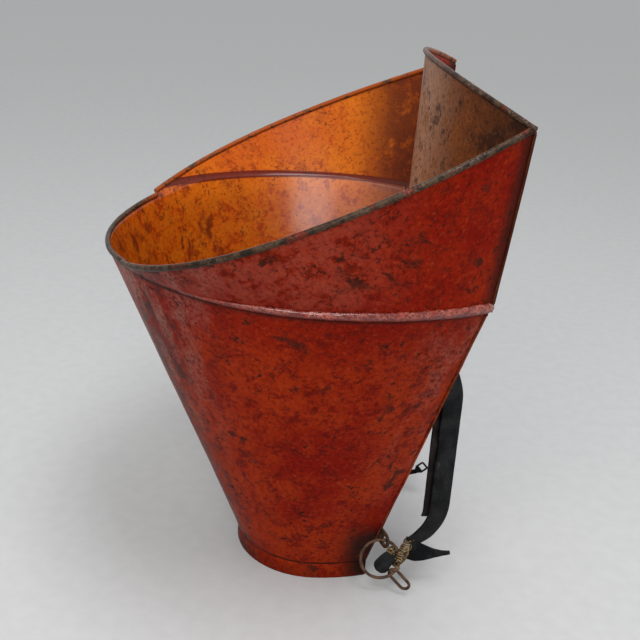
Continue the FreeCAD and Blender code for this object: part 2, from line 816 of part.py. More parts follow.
def lap_rivets():
    """A row of small rivets along the back lap."""
    heads = []
    count = int(num("lap_rivet_count"))
    section = Section("seam")
    arc = hollow_bend(section.half, section.hollow).number
    for i in range(count):
        across = (i - (count - 1) / 2) * num("lap_rivet_pitch")
        base = section.back_point(across, num("seam_level"), num("sheet") + 0.4)
        tilt = math.asin(across / arc)
        out = V(-math.sin(tilt), math.cos(tilt), 0)
        heads.append(placed(dome(num("lap_rivet_head"), num("lap_rivet_rise")), base, out))
    keep_shape(Part.makeCompound(heads), "lap_rivets")


# ---------------------------------------------------------------- straps
def strap_point(run):
    """Centre of the strap at a run from 0 at its top end to 1 at its lower end, with the
    direction it travels, in the strap's own upright plane."""
    top_turn = math.radians(num("strap_high_turn"))
    low_turn = math.radians(num("strap_low_turn"))
    lengths = (
        num("strap_high_radius") * top_turn,
        num("strap_straight_high") - num("strap_straight_low"),
        num("strap_low_radius") * low_turn,
    )
    place = run * sum(lengths)
    reach = num("strap_reach")
    if place <= lengths[0]:
        angle = top_turn - place / num("strap_high_radius")
        radius = num("strap_high_radius")
        point = (reach - radius * (1 - math.cos(angle)), num("strap_straight_high") + radius * math.sin(angle))
        return point, angle
    if place <= lengths[0] + lengths[1]:
        return (reach, num("strap_straight_high") - (place - lengths[0])), 0.0
    angle = (place - lengths[0] - lengths[1]) / num("strap_low_radius")
    radius = num("strap_low_radius")
    point = (reach - radius * (1 - math.cos(angle)), num("strap_straight_low") - radius * math.sin(angle))
    return point, -angle


def strap_axes(run, hand):
    """Place, width direction, face direction and travel direction at a run."""
    (y, z), angle = strap_point(run)
    travel = V(0, math.sin(angle), -math.cos(angle))
    outward = V(0, math.cos(angle), math.sin(angle))
    share = min(max((run - 0.04) / 0.28, 0), 1)
    top = num("strap_top_twist")
    twist = math.radians(top + (num("strap_twist") - top) * share * share * (3 - 2 * share))
    sideways = V(hand, 0, 0)
    face = outward * math.cos(twist) + sideways * math.sin(twist)
    width = sideways * math.cos(twist) - outward * math.sin(twist)
    return V(hand * num("strap_offset"), y, z), width, face, travel


def slab(centre, width, face, half_width, half_thick):
    corners = [
        centre + width * a * half_width + face * b * half_thick
        for a, b in ((-1, -1), (1, -1), (1, 1), (-1, 1))
    ]
    return Part.makePolygon(corners + corners[:1])


def strap_half_width(run):
    """Full width along most of the strap, narrowing to the tied end."""
    full = num("strap_width") / 2
    start = num("strap_taper_start")
    share = max((run - start) / (1 - start), 0)
    return full * (1 - num("strap_taper") * share)


def strap_outer(name, hand):
    steps = 22
    wires = []
    for i in range(steps + 1):
        run = i / steps
        centre, width, face, _ = strap_axes(run, hand)
        wires.append(slab(centre, width, face, strap_half_width(run), num("strap_thick") / 2))
    keep_shape(Part.makeLoft(wires, True, True), "strap_" + name)


def strap_lining(name, hand):
    """The second leather under the outer one, offset towards the tank, and shorter."""
    steps = 16
    wires = []
    for i in range(steps + 1):
        run = 0.06 + (0.84 - 0.06) * i / steps
        centre, width, face, _ = strap_axes(run, hand)
        share = min(max((run - 0.1) / 0.2, 0), 1)
        offset = 5.5 * share
        thick = num("lining_thick") / 2
        middle = centre - face * (num("strap_thick") / 2 + thick + 0.1) + width * offset
        wires.append(slab(middle, width, face, num("strap_width") / 2 - 1, thick))
    keep_shape(Part.makeLoft(wires, True, True), "strap_lining_" + name)


def top_axes(hand):
    """Place, width direction and upward direction of the strap's top end."""
    centre, width, _, travel = strap_axes(0, hand)
    return centre, width, travel * -1


def strap_fold(name, hand):
    """The leather folded round the loop's lower bar."""
    centre, width, upward = top_axes(hand)
    length = num("strap_width") - 2
    bar = centre + upward * (num("fold_radius") + 0.1)
    start = bar - width * length / 2
    outer = Part.makeCylinder(num("fold_radius"), length, start, width)
    hole = Part.makeCylinder(num("frame_rod") + 0.25, length, start, width)
    keep_shape(outer.cut(hole), "strap_fold_" + name)


def strap_loop(name, hand):
    """A rectangular iron loop: its lower bar holds the strap, its upper bar the eye."""
    centre, width, upward = top_axes(hand)
    rod_radius = num("frame_rod")
    low = centre + upward * (num("fold_radius") + 0.1)
    high = low + upward * num("frame_spacing")
    half = num("strap_width") / 2 + rod_radius + 1.5
    corners = [low - width * half, low + width * half, high + width * half, high - width * half]
    bars = []
    for i, corner in enumerate(corners):
        bars.append(straight_rod(corner, corners[(i + 1) % 4], rod_radius))
        bars.append(Part.makeSphere(rod_radius, corner))
    loop = bars[0]
    for bar in bars[1:]:
        loop = loop.fuse(bar)
    keep_shape(loop.removeSplitter(), "strap_loop_" + name)


def eye_centre(hand):
    centre, _, upward = top_axes(hand)
    return centre + upward * (num("fold_radius") + 0.1 + num("frame_spacing"))


def strap_plate(name, hand):
    """A riveted plate with a forged eye for the strap's loop."""
    eye = eye_centre(hand)
    share = (eye.z - num("low_level")) / (num("high_level") - num("low_level"))
    numbers = section_at(LOW, HIGH, share)
    arc = (numbers["half"] ** 2 + numbers["hollow"] ** 2) / (2 * numbers["hollow"])
    tilt = math.asin(abs(eye.x) / arc)
    surface = numbers["corner"] - numbers["hollow"] + arc - math.sqrt(arc ** 2 - eye.x ** 2) + num("sheet")
    turn = FreeCAD.Rotation(Z_AXIS, math.degrees(tilt) * hand)
    turn = turn * FreeCAD.Rotation(X_AXIS, -4.5)
    out = turn.multVec(Y_AXIS)
    base = V(eye.x, surface, eye.z) + V(0, 0.9, 0)
    wide = num("plate_wide")
    tall = num("plate_tall")
    box = Part.makeBox(wide, num("plate_thick"), tall, V(-wide / 2, 0, -tall / 2))
    corners = [e for e in box.Edges if abs(e.tangentAt(e.FirstParameter).y) > 0.9]
    box = box.makeFillet(num("plate_corner"), corners)
    box.Placement = FreeCAD.Placement(base, turn)
    width = strap_axes(0, hand)[1]
    ring = Part.makeTorus(num("eye_radius"), num("eye_rod"), eye, width)
    gap = (eye - base).dot(out) - num("eye_radius")
    neck_start = base + out * (num("plate_thick") * 0.5)
    neck = straight_rod(neck_start, neck_start + out * (gap - num("plate_thick") * 0.5 + 1), 3.2)
    hole = Part.makeCylinder(num("eye_radius") - num("eye_rod"), 30, eye - width * 15, width)
    plate = box.fuse(neck.cut(hole)).fuse(ring).removeSplitter()
    keep_shape(plate, "strap_plate_" + name)
    heads = []
    for side in (-1, 1):
        seat = base + turn.multVec(V(0, num("plate_thick"), side * num("plate_rivet")))
        heads.append(placed(dome(num("anchor_rivet_head"), 2.4), seat, out))
    return heads


# ---------------------------------------------------------------- lower strap anchors
def hitch_turn(hand):
    turn = FreeCAD.Rotation(Z_AXIS, num("hitch_angle") * hand)
    return turn * FreeCAD.Rotation(X_AXIS, -num("hitch_lean"))


def hitch_point(along, out, hand):
    base = V(hand * num("hitch_x"), num("hitch_y"), num("hitch_level"))
    return base + hitch_turn(hand).multVec(V(hand * along, out, 0))


def hitch_plate(name, hand):
    """An iron strap riveted on the back panel, with a hole outside the corner."""
    height = num("hitch_height")
    reach = num("hitch_reach")
    thick = num("hitch_thick")
    start = -num("hitch_back")
    box = Part.makeBox(reach - start, thick, height, V(start, 0, -height / 2))
    end = Part.makeCylinder(height / 2, thick, V(reach, 0, 0), Y_AXIS)
    hole = Part.makeCylinder(num("hitch_hole"), thick, V(reach, 0, 0), Y_AXIS)
    plate = box.fuse(end).removeSplitter().cut(hole)
    if hand < 0:
        plate = plate.mirror(V(0, 0, 0), X_AXIS)
    seat = FreeCAD.Placement(hitch_point(0, 0, hand), hitch_turn(hand))
    keep_shape(plate.transformed(seat.Matrix, True), "hitch_plate_" + name)
    out = hitch_turn(hand).multVec(Y_AXIS)
    head = dome(num("anchor_rivet_head"), num("anchor_rivet_rise"))
    places = (num("hitch_rivet_near"), num("hitch_rivet_far"))
    return [placed(head, hitch_point(along, thick, hand), out) for along in places]


def ring_axes(hand):
    """Centre and axes of the anchor ring that hangs in the hitch plate's hole."""
    lean = math.radians(num("ring_lean"))
    upward = V(-hand * math.sin(lean), 0, math.cos(lean))
    hole = hitch_point(num("hitch_reach"), num("hitch_thick") / 2, hand)
    aside = num("ring_aside")
    radius = num("ring_radius")
    centre = hole - Y_AXIS * aside - upward * math.sqrt(radius * radius - aside * aside)
    return centre, upward


def anchor_ring(name, hand):
    centre, upward = ring_axes(hand)
    axis = upward.cross(Y_AXIS)
    keep_shape(Part.makeTorus(num("ring_radius"), num("ring_rod"), centre, axis), "anchor_ring_" + name)


def lashing(name, hand):
    """Wire wound round the ring and the strap's tied end."""
    centre = strap_axes(1, hand)[0]
    ring = ring_axes(hand)[0]
    side = ring + Y_AXIS * num("ring_radius")
    middle = (centre + side) * 0.5
    along = (side - centre).normalize()
    length = (side - centre).Length + num("lashing_spare")
    start = middle - along * length / 2
    lump = Part.makeCylinder(num("lashing_radius"), length, start, along)
    lump = lump.makeFillet(num("lashing_round"), lump.Edges[:1] + lump.Edges[2:3])
    keep_shape(lump, "lashing_" + name)


def oval_link(name, hand):
    """The link that hangs on the anchor ring and leans on the floor."""
    centre, upward = ring_axes(hand)
    angle = math.radians(num("link_turn"))
    radial = Y_AXIS * math.sin(angle) - upward * math.cos(angle)
    tangent = Y_AXIS * math.cos(angle) + upward * math.sin(angle)
    contact = centre + radial * num("ring_radius")
    across = radial.cross(tangent)
    half = num("link_half_width")
    reach = num("ring_rod") + num("link_rod") + num("link_gap")
    straight = num("link_straight")
    near = contact - radial * reach
    first = near + radial * half
    last = first + radial * straight
    left, right = across * -half, across * half
    edges = [
        Part.Arc(first + left, near, first + right).toShape(),
        Part.LineSegment(first + right, last + right).toShape(),
        Part.Arc(last + right, last + radial * half, last + left).toShape(),
        Part.LineSegment(last + left, first + left).toShape(),
    ]
    path = Part.Wire(edges)
    profile = Part.Wire(Part.Circle(first + left, radial, num("link_rod")).toShape())
    keep_shape(path.makePipeShell([profile], True, False), "oval_link_" + name)


def tail(points, widths, hand):
    """A flat leather end that stands out of the lashing."""
    wires = []
    for (x, y, z), wide in zip(points, widths):
        wires.append(slab(V(hand * x, y, z), V(0, 0.15, 1).normalize(), V(hand, 0, 0), wide / 2, 2))
    return Part.makeLoft(wires, True, True)


TAIL_RIGHT = [(128, 204, 54), (127, 226, 53), (126, 250, 58), (125, 266, 62)]
TAIL_RIGHT_WIDTHS = [22, 18, 9, 6]
BUCKLE_MIDDLE = V(-121, 256, 57)


def buckle_axes():
    """Direction from the tail to the buckle's far side, direction of its near bar, and the
    near bar's middle."""
    turn = FreeCAD.Rotation(X_AXIS, num("buckle_turn"))
    out = turn.multVec(Y_AXIS)
    bar = turn.multVec(Z_AXIS)
    return out, bar, BUCKLE_MIDDLE - out * (num("buckle_size") - num("buckle_bar")) / 2


def tail_left():
    """The left strap's tied end, folded round the buckle's near bar."""
    out, bar, near = buckle_axes()
    end = near - out * 4
    points = [(128, 204, 58), (126, 222, 47), (-end.x, end.y, end.z)]
    strip = tail(points, [20, 15, 8], -1)
    length = num("buckle_size") - 2 * num("buckle_bar") - 2
    tube = Part.makeCylinder(num("tail_tube"), length, near - bar * length / 2, bar)
    hole = Part.makeCylinder(num("tail_hole"), length, near - bar * length / 2, bar)
    keep_shape(strip.fuse(tube).removeSplitter().cut(hole), "strap_tail_left")


def small_buckle():
    """A small square frame on the end of the left strap's tied tail."""
    body = new_body("small_buckle")
    frame = new_sketch(body, "FrameOutline", "YZ_Plane")
    outer = cell("buckle_size") / 2
    inner = outer - cell("buckle_bar")
    for size in (outer, inner):
        chain = [((size, size), None, 0), ((-size, size), None, 0)]
        chain += [((-size, -size), None, 0), ((size, -size), None, 0)]
        outline(frame, chain)
    pad(body, frame, cell("buckle_bar"))
    doc.recompute()
    turn = FreeCAD.Rotation(X_AXIS, num("buckle_turn"))
    seat = BUCKLE_MIDDLE - X_AXIS * num("buckle_bar") / 2
    keep_shape(body.Shape.transformed(FreeCAD.Placement(seat, turn).Matrix, True), "small_buckle")


# ---------------------------------------------------------------- build
foot_ring()
floor_pan()
tank_belly()
tank_back()
for name, hand in SIDES:
    collar_side(name, hand)
collar_back()
lip_bead()
back_bead()
corner_rivets()
back_lap()
lap_rivets()
anchor_heads = []
for name, hand in SIDES:
    rim_bead(name, hand)
    seam_bead(name, hand)
    corner_folds(name, hand)
    strap_outer(name, hand)
    strap_lining(name, hand)
    strap_fold(name, hand)
    strap_loop(name, hand)
    anchor_heads += strap_plate(name, hand)
    anchor_heads += hitch_plate(name, hand)
    anchor_ring(name, hand)
    lashing(name, hand)
    oval_link(name, hand)
keep_shape(Part.makeCompound(anchor_heads), "plate_rivets")
keep_shape(tail(TAIL_RIGHT, TAIL_RIGHT_WIDTHS, 1), "strap_tail_right")
tail_left()
small_buckle()

doc.recompute()
for item in doc.Objects:
    if "Invalid" in item.State or "Error" in item.State:
        raise RuntimeError("%s failed: %s" % (item.Label, item.State))
os.makedirs("parts", exist_ok=True)
for node in nodes:
    if node.Shape.isNull() or not node.Shape.isValid():
        raise RuntimeError("%s has no valid shape" % node.Label)
    node.Shape.exportStep("parts/%s.step" % node.Label)
    box = node.Shape.optimalBoundingBox(True, False)
    print("%-18s solids %d volume %10.1f  x %7.1f %7.1f  y %7.1f %7.1f  z %6.1f %6.1f" % (
        node.Label, len(node.Shape.Solids), node.Shape.Volume,
        box.XMin, box.XMax, box.YMin, box.YMax, box.ZMin, box.ZMax))
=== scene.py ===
"""Looks of the grape picker's hod: worn paint, a hammered seam, stiff leather and rusty iron.

Lengths are millimetres until a mesh is made, in the part's own frame: +Z up, +Y to the wearer.
"""
import json
import math

import bpy
from mathutils import Matrix, Vector, noise


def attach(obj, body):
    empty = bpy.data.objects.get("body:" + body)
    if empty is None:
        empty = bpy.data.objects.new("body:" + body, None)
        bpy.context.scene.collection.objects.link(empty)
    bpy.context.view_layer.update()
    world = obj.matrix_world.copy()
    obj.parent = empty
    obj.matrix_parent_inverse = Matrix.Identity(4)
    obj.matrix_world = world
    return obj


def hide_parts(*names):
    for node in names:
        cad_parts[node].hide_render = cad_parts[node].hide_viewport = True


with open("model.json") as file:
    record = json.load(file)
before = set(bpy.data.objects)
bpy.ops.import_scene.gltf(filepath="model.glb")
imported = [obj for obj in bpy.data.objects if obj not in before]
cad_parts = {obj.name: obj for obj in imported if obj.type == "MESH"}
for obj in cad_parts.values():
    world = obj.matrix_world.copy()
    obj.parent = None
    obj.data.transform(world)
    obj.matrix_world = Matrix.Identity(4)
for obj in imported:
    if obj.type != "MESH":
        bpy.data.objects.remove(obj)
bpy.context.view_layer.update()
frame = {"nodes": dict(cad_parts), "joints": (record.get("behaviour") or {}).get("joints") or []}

MM = 0.001
SHEET = 1.2
BEAD = 3.4
SIDES = (("right", 1), ("left", -1))
UP = Vector((0, 0, 1))
REAR = Vector((0, 1, 0))
ACROSS = Vector((1, 0, 0))


def put_in_scene(name, data):
    made = bpy.data.objects.new(name, data)
    bpy.context.scene.collection.objects.link(made)
    return made


# ---------------- camera
# The camera stands on the wearer's right, a little over the rim, and is rolled slightly.
CAMERA_PLACE = Vector((1319.95, -27.18, 923.37)) * MM
CAMERA_AZIMUTH = math.radians(89.56)
CAMERA_PITCH = math.radians(22.69)
CAMERA_ROLL = math.radians(2.42)
CAMERA_LENS = 54.42
CAMERA_SHIFT = 0.0711


def make_camera():
    data = bpy.data.cameras.new("camera")
    data.lens = CAMERA_LENS
    data.shift_x = CAMERA_SHIFT
    camera = put_in_scene("camera", data)
    level = Vector((-math.sin(CAMERA_AZIMUTH), math.cos(CAMERA_AZIMUTH), 0))
    toward = level * math.cos(CAMERA_PITCH) - UP * math.sin(CAMERA_PITCH)
    right = toward.cross(UP).normalized()
    above = right.cross(toward)
    across = right * math.cos(CAMERA_ROLL) + above * math.sin(CAMERA_ROLL)
    over = above * math.cos(CAMERA_ROLL) - right * math.sin(CAMERA_ROLL)
    turn = Matrix((across, over, -toward)).transposed().to_4x4()
    camera.matrix_world = Matrix.Translation(CAMERA_PLACE) @ turn
    bpy.context.scene.camera = camera


make_camera()


# ---------------- shaders
class Shader:
    """A node tree built from short calls, with patterns laid out in the part's own frame.
    ground is the colour underneath, and lay() puts one more colour over it."""

    def __init__(self, name, ground):
        self.colour = (*ground, 1)
        self.material = bpy.data.materials.new(name)
        self.material.use_nodes = True
        self.tree = self.material.node_tree
        self.tree.nodes.clear()
        self.place = self.node("ShaderNodeTexCoord").outputs["Object"]
        split = self.node("ShaderNodeSeparateXYZ", {0: self.place})
        self.x, self.y, self.z = split.outputs
        facing = self.node("ShaderNodeTexCoord").outputs["Normal"]
        self.facing_x, self.facing_y, _ = self.node("ShaderNodeSeparateXYZ", {0: facing}).outputs

    def node(self, kind, inputs=None, **settings):
        made = self.tree.nodes.new(kind)
        for key, value in settings.items():
            setattr(made, key, value)
        for key, value in (inputs or {}).items():
            if isinstance(value, bpy.types.NodeSocket):
                self.tree.links.new(value, made.inputs[key])
            else:
                made.inputs[key].default_value = value
        return made

    def cloud(self, scale, detail, rough=0.55, stretch=None, turn=(0, 0, 0), seed=0):
        """Soft noise; stretch scales it along each axis after the turn."""
        place = self.place
        if stretch is not None:
            turned = self.node("ShaderNodeMapping", {"Vector": place, "Rotation": turn})
            scaled = self.node("ShaderNodeMapping", {"Vector": turned.outputs[0], "Scale": stretch})
            place = scaled.outputs[0]
        inputs = {"Vector": place, "Scale": scale, "Detail": detail, "Roughness": rough, "W": seed}
        return self.node("ShaderNodeTexNoise", inputs, noise_dimensions="4D").outputs["Fac"]

    def cells(self, scale):
        return self.node("ShaderNodeTexVoronoi", {"Vector": self.place, "Scale": scale}).outputs["Distance"]

    def band(self, value, low, high, top=1):
        """0 below low, top above high, smooth between; low may be over high."""
        first, last = (0, top) if low < high else (top, 0)
        inputs = {"Value": value, "From Min": min(low, high), "From Max": max(low, high)}
        inputs.update({"To Min": first, "To Max": last})
        return self.node("ShaderNodeMapRange", inputs, interpolation_type="SMOOTHSTEP").outputs["Result"]

    def sum(self, kind, first, second):
        return self.node("ShaderNodeMath", {0: first, 1: second}, operation=kind).outputs[0]

    def fold(self, kind, values):
        total = values[0]
        for value in values[1:]:
            total = self.sum(kind, total, value)
        return total

    def both(self, *values):
        return self.fold("MULTIPLY", values)

    def either(self, *values):
        return self.fold("MAXIMUM", values)

    def lay(self, colour, share):
        inputs = {0: share, 6: self.colour, 7: (*colour, 1)}
        self.colour = self.node("ShaderNodeMix", inputs, data_type="RGBA").outputs[2]

    def bump(self, height, strength, depth, under=None):
        inputs = {"Height": height, "Strength": strength, "Distance": depth * MM}
        if under is not None:
            inputs["Normal"] = under
        return self.node("ShaderNodeBump", inputs).outputs[0]

    def finish(self, rough, normal, metallic=0, shine=0.2, coat=0, coat_rough=0.3):
        inputs = {"Base Color": self.colour, "Roughness": rough, "Normal": normal, "Metallic": metallic}
        inputs.update({"Specular IOR Level": shine, "Coat Weight": coat, "Coat Roughness": coat_rough})
        shader = self.node("ShaderNodeBsdfPrincipled", inputs)
        self.node("ShaderNodeOutputMaterial", {"Surface": shader.outputs[0]})
        return self.material


def scratches(s, seed, turn):
    """Thin broken lines along one direction."""
    line = s.cloud(260, 2, 0.5, (1, 1, 0.05), turn, seed)
    patch = s.cloud(18, 3, 0.6, seed=seed + 3)
    return s.both(s.band(line, 0.66, 0.72), s.band(patch, 0.52, 0.62))


def chips(s, seed):
    """Small irregular places where the paint has gone."""
    small = s.cloud(150, 5, 0.65, seed=seed)
    patch = s.cloud(24, 4, 0.6, seed=seed + 1)
    return s.both(s.band(small, 0.535, 0.6), s.band(patch, 0.52, 0.62))


# Levels and places on the hod that the paint follows, in metres.
SEAM_AT = 0.489
SEAM_FALL = 0.04
EDGE_AT = 0.522
FOOT_TOP = 0.025
CORNER_SLOPE = 0.0524
CORNER_BACK = 0.2185


def along_seam(s):
    """Height, evened out so that the sloping seam is level."""
    return s.sum("ADD", s.z, s.both(s.y, SEAM_FALL))


def outside_red(s, broad, mottle, fine):
    """Deep red, more orange on the tank, duller on the front of the collar."""
    bright, orange, dull = (0.22, 0.012, 0.0016), (0.255, 0.021, 0.002), (0.23, 0.044, 0.027)
    dark, scuffed, black_red = (0.08, 0.0045, 0.0016), (0.33, 0.055, 0.018), (0.05, 0.0045, 0.0022)
    s.lay(bright, s.band(broad, 0.4, 0.6))
    tank = s.both(s.band(s.z, 0.48, 0.4), s.band(broad, 0.35, 0.55), s.band(mottle, 0.4, 0.55))
    s.lay(orange, s.both(tank, 0.8))
    collar = s.both(s.band(s.z, 0.48, 0.53), s.band(s.y, 0.16, 0.02), s.band(mottle, 0.36, 0.56))
    s.lay(dull, s.both(collar, 0.6))
    s.lay(dark, s.band(mottle, 0.475, 0.4, 0.6))
    s.lay(scuffed, s.band(fine, 0.53, 0.64, 0.4))
    s.lay(black_red, s.band(fine, 0.485, 0.395, 0.7))


def outside_weather_and_reflection(s, broad, mottle, fine):
    """Painted reflection as pale runs on the front and by the back, dark runs there too, soot on the front,
    and scabs all over.
    """
    pale_reflection, tar = (0.23, 0.105, 0.08), (0.02, 0.008, 0.0055)
    soot, scab = (0.034, 0.013, 0.008), (0.03, 0.008, 0.0048)
    streak = s.cloud(30, 5, 0.66, (1, 1, 0.16), seed=4)
    front = s.either(s.band(s.y, -0.045, -0.2), s.band(s.facing_y, -0.66, -0.92))
    rear = s.both(s.band(s.y, 0.1, 0.23), s.band(s.z, 0.5, 0.45))
    zone = s.either(front, s.both(rear, 0.4))
    # Pale runs of painted reflection, on the front and faintly by the back.
    painted_reflection_run = s.both(zone, s.band(streak, 0.45, 0.6), s.band(fine, 0.4, 0.56), 0.9)
    dark_run = s.both(zone, s.band(streak, 0.5, 0.4), s.band(mottle, 0.6, 0.46), 0.95)
    s.lay(pale_reflection, painted_reflection_run)
    s.lay(tar, dark_run)
    sooty = s.both(s.band(s.facing_y, -0.55, -0.86), s.band(mottle, 0.56, 0.44))
    sooty = s.both(sooty, s.band(s.z, 0.48, 0.4), 0.72)
    ragged = s.cloud(36, 7, 0.78, seed=13)
    scabs = s.both(s.band(ragged, 0.555, 0.59), s.band(broad, 0.46, 0.54), 0.85)
    s.lay(soot, sooty)
    s.lay(scab, scabs)


def outside_grime_and_shade(s, mottle):
    """Dirt and painted shade: painted shadow under the seam and just over the foot band's top edge, a stain
    behind the ring, a smudge on the collar, darker towards the bottom, and painted shade along the back
    corners.
    """
    level = along_seam(s)
    # Painted shadow in a band just under the seam's bead.
    shadow_under_seam = s.both(s.band(level, SEAM_AT - 0.001, SEAM_AT + 0.007), s.band(level, 0.502, 0.4995))
    shadow_under_seam = s.both(shadow_under_seam, s.band(mottle, 0.36, 0.5), 0.85)
    # Painted shadow just over the foot band's top edge.
    foot_gap_shadow = s.both(s.band(s.z, FOOT_TOP - 0.0012, FOOT_TOP + 0.0005), s.band(s.z, 0.032, 0.0265))
    foot_gap_shadow = s.both(foot_gap_shadow, s.band(mottle, 0.4, 0.52), 0.85)
    stain = s.both(s.band(s.z, 0.13, 0.07), s.band(s.y, 0.075, 0.125), s.band(mottle, 0.28, 0.5))
    low_edge = s.both(s.band(s.z, 0.034, 0.004), s.band(mottle, 0.35, 0.6), 0.5)
    patch = s.both(s.band(s.y, 0.02, 0.09), s.band(s.y, 0.2, 0.13))
    patch = s.both(patch, s.band(s.z, 0.53, 0.55), s.band(s.z, 0.62, 0.59))
    smear = s.cloud(34, 5, 0.7, (1, 0.5, 1.6), (0.5, 0, 0), 6)
    smudge = s.both(patch, s.band(smear, 0.5, 0.6), 0.85)
    # Painted shade along the collar's back corners, where the sheet turns round.
    corner = s.sum("SUBTRACT", s.y, s.both(s.z, CORNER_SLOPE))
    edge = s.both(s.band(corner, CORNER_BACK - 0.022, CORNER_BACK - 0.004), s.band(s.z, 0.46, 0.5), 0.8)
    return s.either(stain, low_edge, smudge, edge, shadow_under_seam, foot_gap_shadow)


def paint_outside():
    s = Shader("paint_outside", (0.16, 0.004, 0.0008))
    broad = s.cloud(6, 4, 0.6, seed=1)
    mottle = s.cloud(42, 7, 0.74, seed=2)
    fine = s.cloud(170, 7, 0.8, seed=3)
    outside_red(s, broad, mottle, fine)
    outside_weather_and_reflection(s, broad, mottle, fine)
    # Dirt, with painted shade under the seam, over the foot band's top edge and along the back corners.
    s.lay((0.018, 0.006, 0.004), outside_grime_and_shade(s, mottle))
    worn = s.either(chips(s, 11), scratches(s, 21, (0.3, 0, 0.2)), scratches(s, 31, (1.2, 0.3, 0)))
    specks = s.band(s.cloud(420, 3, 0.6, seed=8), 0.64, 0.72, 0.6)
    s.lay((0.024, 0.008, 0.005), s.both(s.either(worn, specks), 0.85))
    rough = s.either(s.band(mottle, 0.35, 0.65, 0.55), s.both(worn, 0.75), 0.36)
    wave = s.bump(s.cloud(26, 2, seed=9), 0.35, 1)
    normal = s.bump(s.sum("SUBTRACT", s.both(fine, 0.5), worn), 0.45, 0.25, wave)
    return s.finish(rough, normal, shine=0.03)


def inside_orange(s, broad, mottle, fine):
    """Bare orange primer: browner down in the tank, blotched, with a painted shadow line over the tank's
    edge.
    """
    amber, brown, ochre = (0.5, 0.115, 0.0034), (0.29, 0.042, 0.0012), (0.34, 0.085, 0.0026)
    rust, dark, pale = (0.19, 0.014, 0.0014), (0.11, 0.01, 0.0016), (0.52, 0.17, 0.02)
    gap_shadow_colour, shadow = (0.09, 0.005, 0.0015), (0.08, 0.012, 0.004)
    s.lay(amber, s.band(broad, 0.38, 0.62))
    low = s.both(s.band(s.z, 0.52, 0.46), 0.8)
    s.lay(brown, low)
    s.lay(ochre, s.both(low, s.band(mottle, 0.47, 0.58), 0.7))
    blotch = s.both(s.band(mottle, 0.48, 0.41), s.either(s.band(s.z, 0.56, 0.52, 0.7), 0.32))
    s.lay(rust, blotch)
    s.lay(dark, s.band(fine, 0.485, 0.4, 0.65))
    s.lay(pale, s.band(fine, 0.54, 0.65, 0.4))
    # Painted shadow in a thin line at the tank's top edge, between it and the collar.
    gap = s.both(s.band(s.z, 0.5125, 0.515), s.band(s.z, EDGE_AT + 0.0023, EDGE_AT + 0.0004), 0.94)
    s.lay(gap_shadow_colour, gap)
    corner = s.both(s.band(s.y, 0.09, 0.18), s.band(s.z, 0.45, 0.53))
    s.lay(shadow, s.both(corner, s.band(mottle, 0.3, 0.5), 0.9))


def paint_inside():
    s = Shader("paint_inside", (0.42, 0.07, 0.0022))
    broad = s.cloud(6, 4, 0.6, seed=41)
    mottle = s.cloud(40, 7, 0.74, seed=42)
    fine = s.cloud(180, 7, 0.8, seed=43)
    streak = s.cloud(36, 5, 0.66, (1, 1, 0.14), seed=44)
    inside_orange(s, broad, mottle, fine)
    front = s.band(s.y, -0.02, -0.18)
    rust = s.both(front, s.band(streak, 0.5, 0.4), s.band(mottle, 0.6, 0.42))
    strokes = s.both(front, s.band(s.cloud(110, 4, 0.66, (1, 1, 0.22), seed=46), 0.57, 0.65))
    worn = s.either(s.both(chips(s, 51), 0.7), s.both(strokes, 0.8), s.both(rust, 0.75))
    specks = s.band(s.cloud(380, 3, 0.6, seed=48), 0.64, 0.71, 0.6)
    deep = s.both(s.band(s.z, 0.3, 0.12), 0.6)
    s.lay((0.04, 0.0085, 0.003), s.either(worn, specks, deep))
    rough = s.either(s.band(mottle, 0.35, 0.65, 0.48), 0.34)
    wave = s.bump(s.cloud(24, 2, seed=49), 0.3, 1)
    normal = s.bump(s.sum("SUBTRACT", s.both(fine, 0.4), worn), 0.4, 0.22, wave)
    tank = s.band(s.z, EDGE_AT + 0.0015, EDGE_AT - 0.0035)
    gloss = s.sum("ADD", s.both(tank, 0.42), 0.03)
    return s.finish(rough, normal, shine=0.06, coat=gloss, coat_rough=0.22)


def paint_panel():
    """The hollow back panel's inner face: grey-brown, the paint nearly gone, with painted shade on its near
    part.
    """
    s = Shader("paint_panel", (0.125, 0.032, 0.006))
    grey, amber = (0.36, 0.19, 0.115), (0.2, 0.056, 0.008)
    pale, dark, black = (0.24, 0.135, 0.085), (0.022, 0.0075, 0.0036), (0.018, 0.0075, 0.0045)
    mottle = s.cloud(30, 7, 0.74, seed=61)
    fine = s.cloud(190, 7, 0.8, seed=62)
    s.lay(grey, s.band(s.x, 0.165, 0.015))
    s.lay(amber, s.band(mottle, 0.5, 0.6, 0.5))
    s.lay(dark, s.band(mottle, 0.48, 0.4, 0.75))
    s.lay(pale, s.band(fine, 0.54, 0.64, 0.4))
    s.lay(black, s.band(fine, 0.485, 0.4, 0.65))
    # Painted shade on the near part of the panel, laid with the chips as one dark colour.
    shade = s.both(s.band(s.x, 0.15, 0.25), 0.6)
    worn = s.either(chips(s, 63), shade)
    s.lay((0.02, 0.008, 0.005), worn)
    normal = s.bump(s.sum("SUBTRACT", fine, worn), 0.4, 0.25)
    return s.finish(s.either(s.band(mottle, 0.3, 0.7, 0.66), 0.46), normal, shine=0.06)


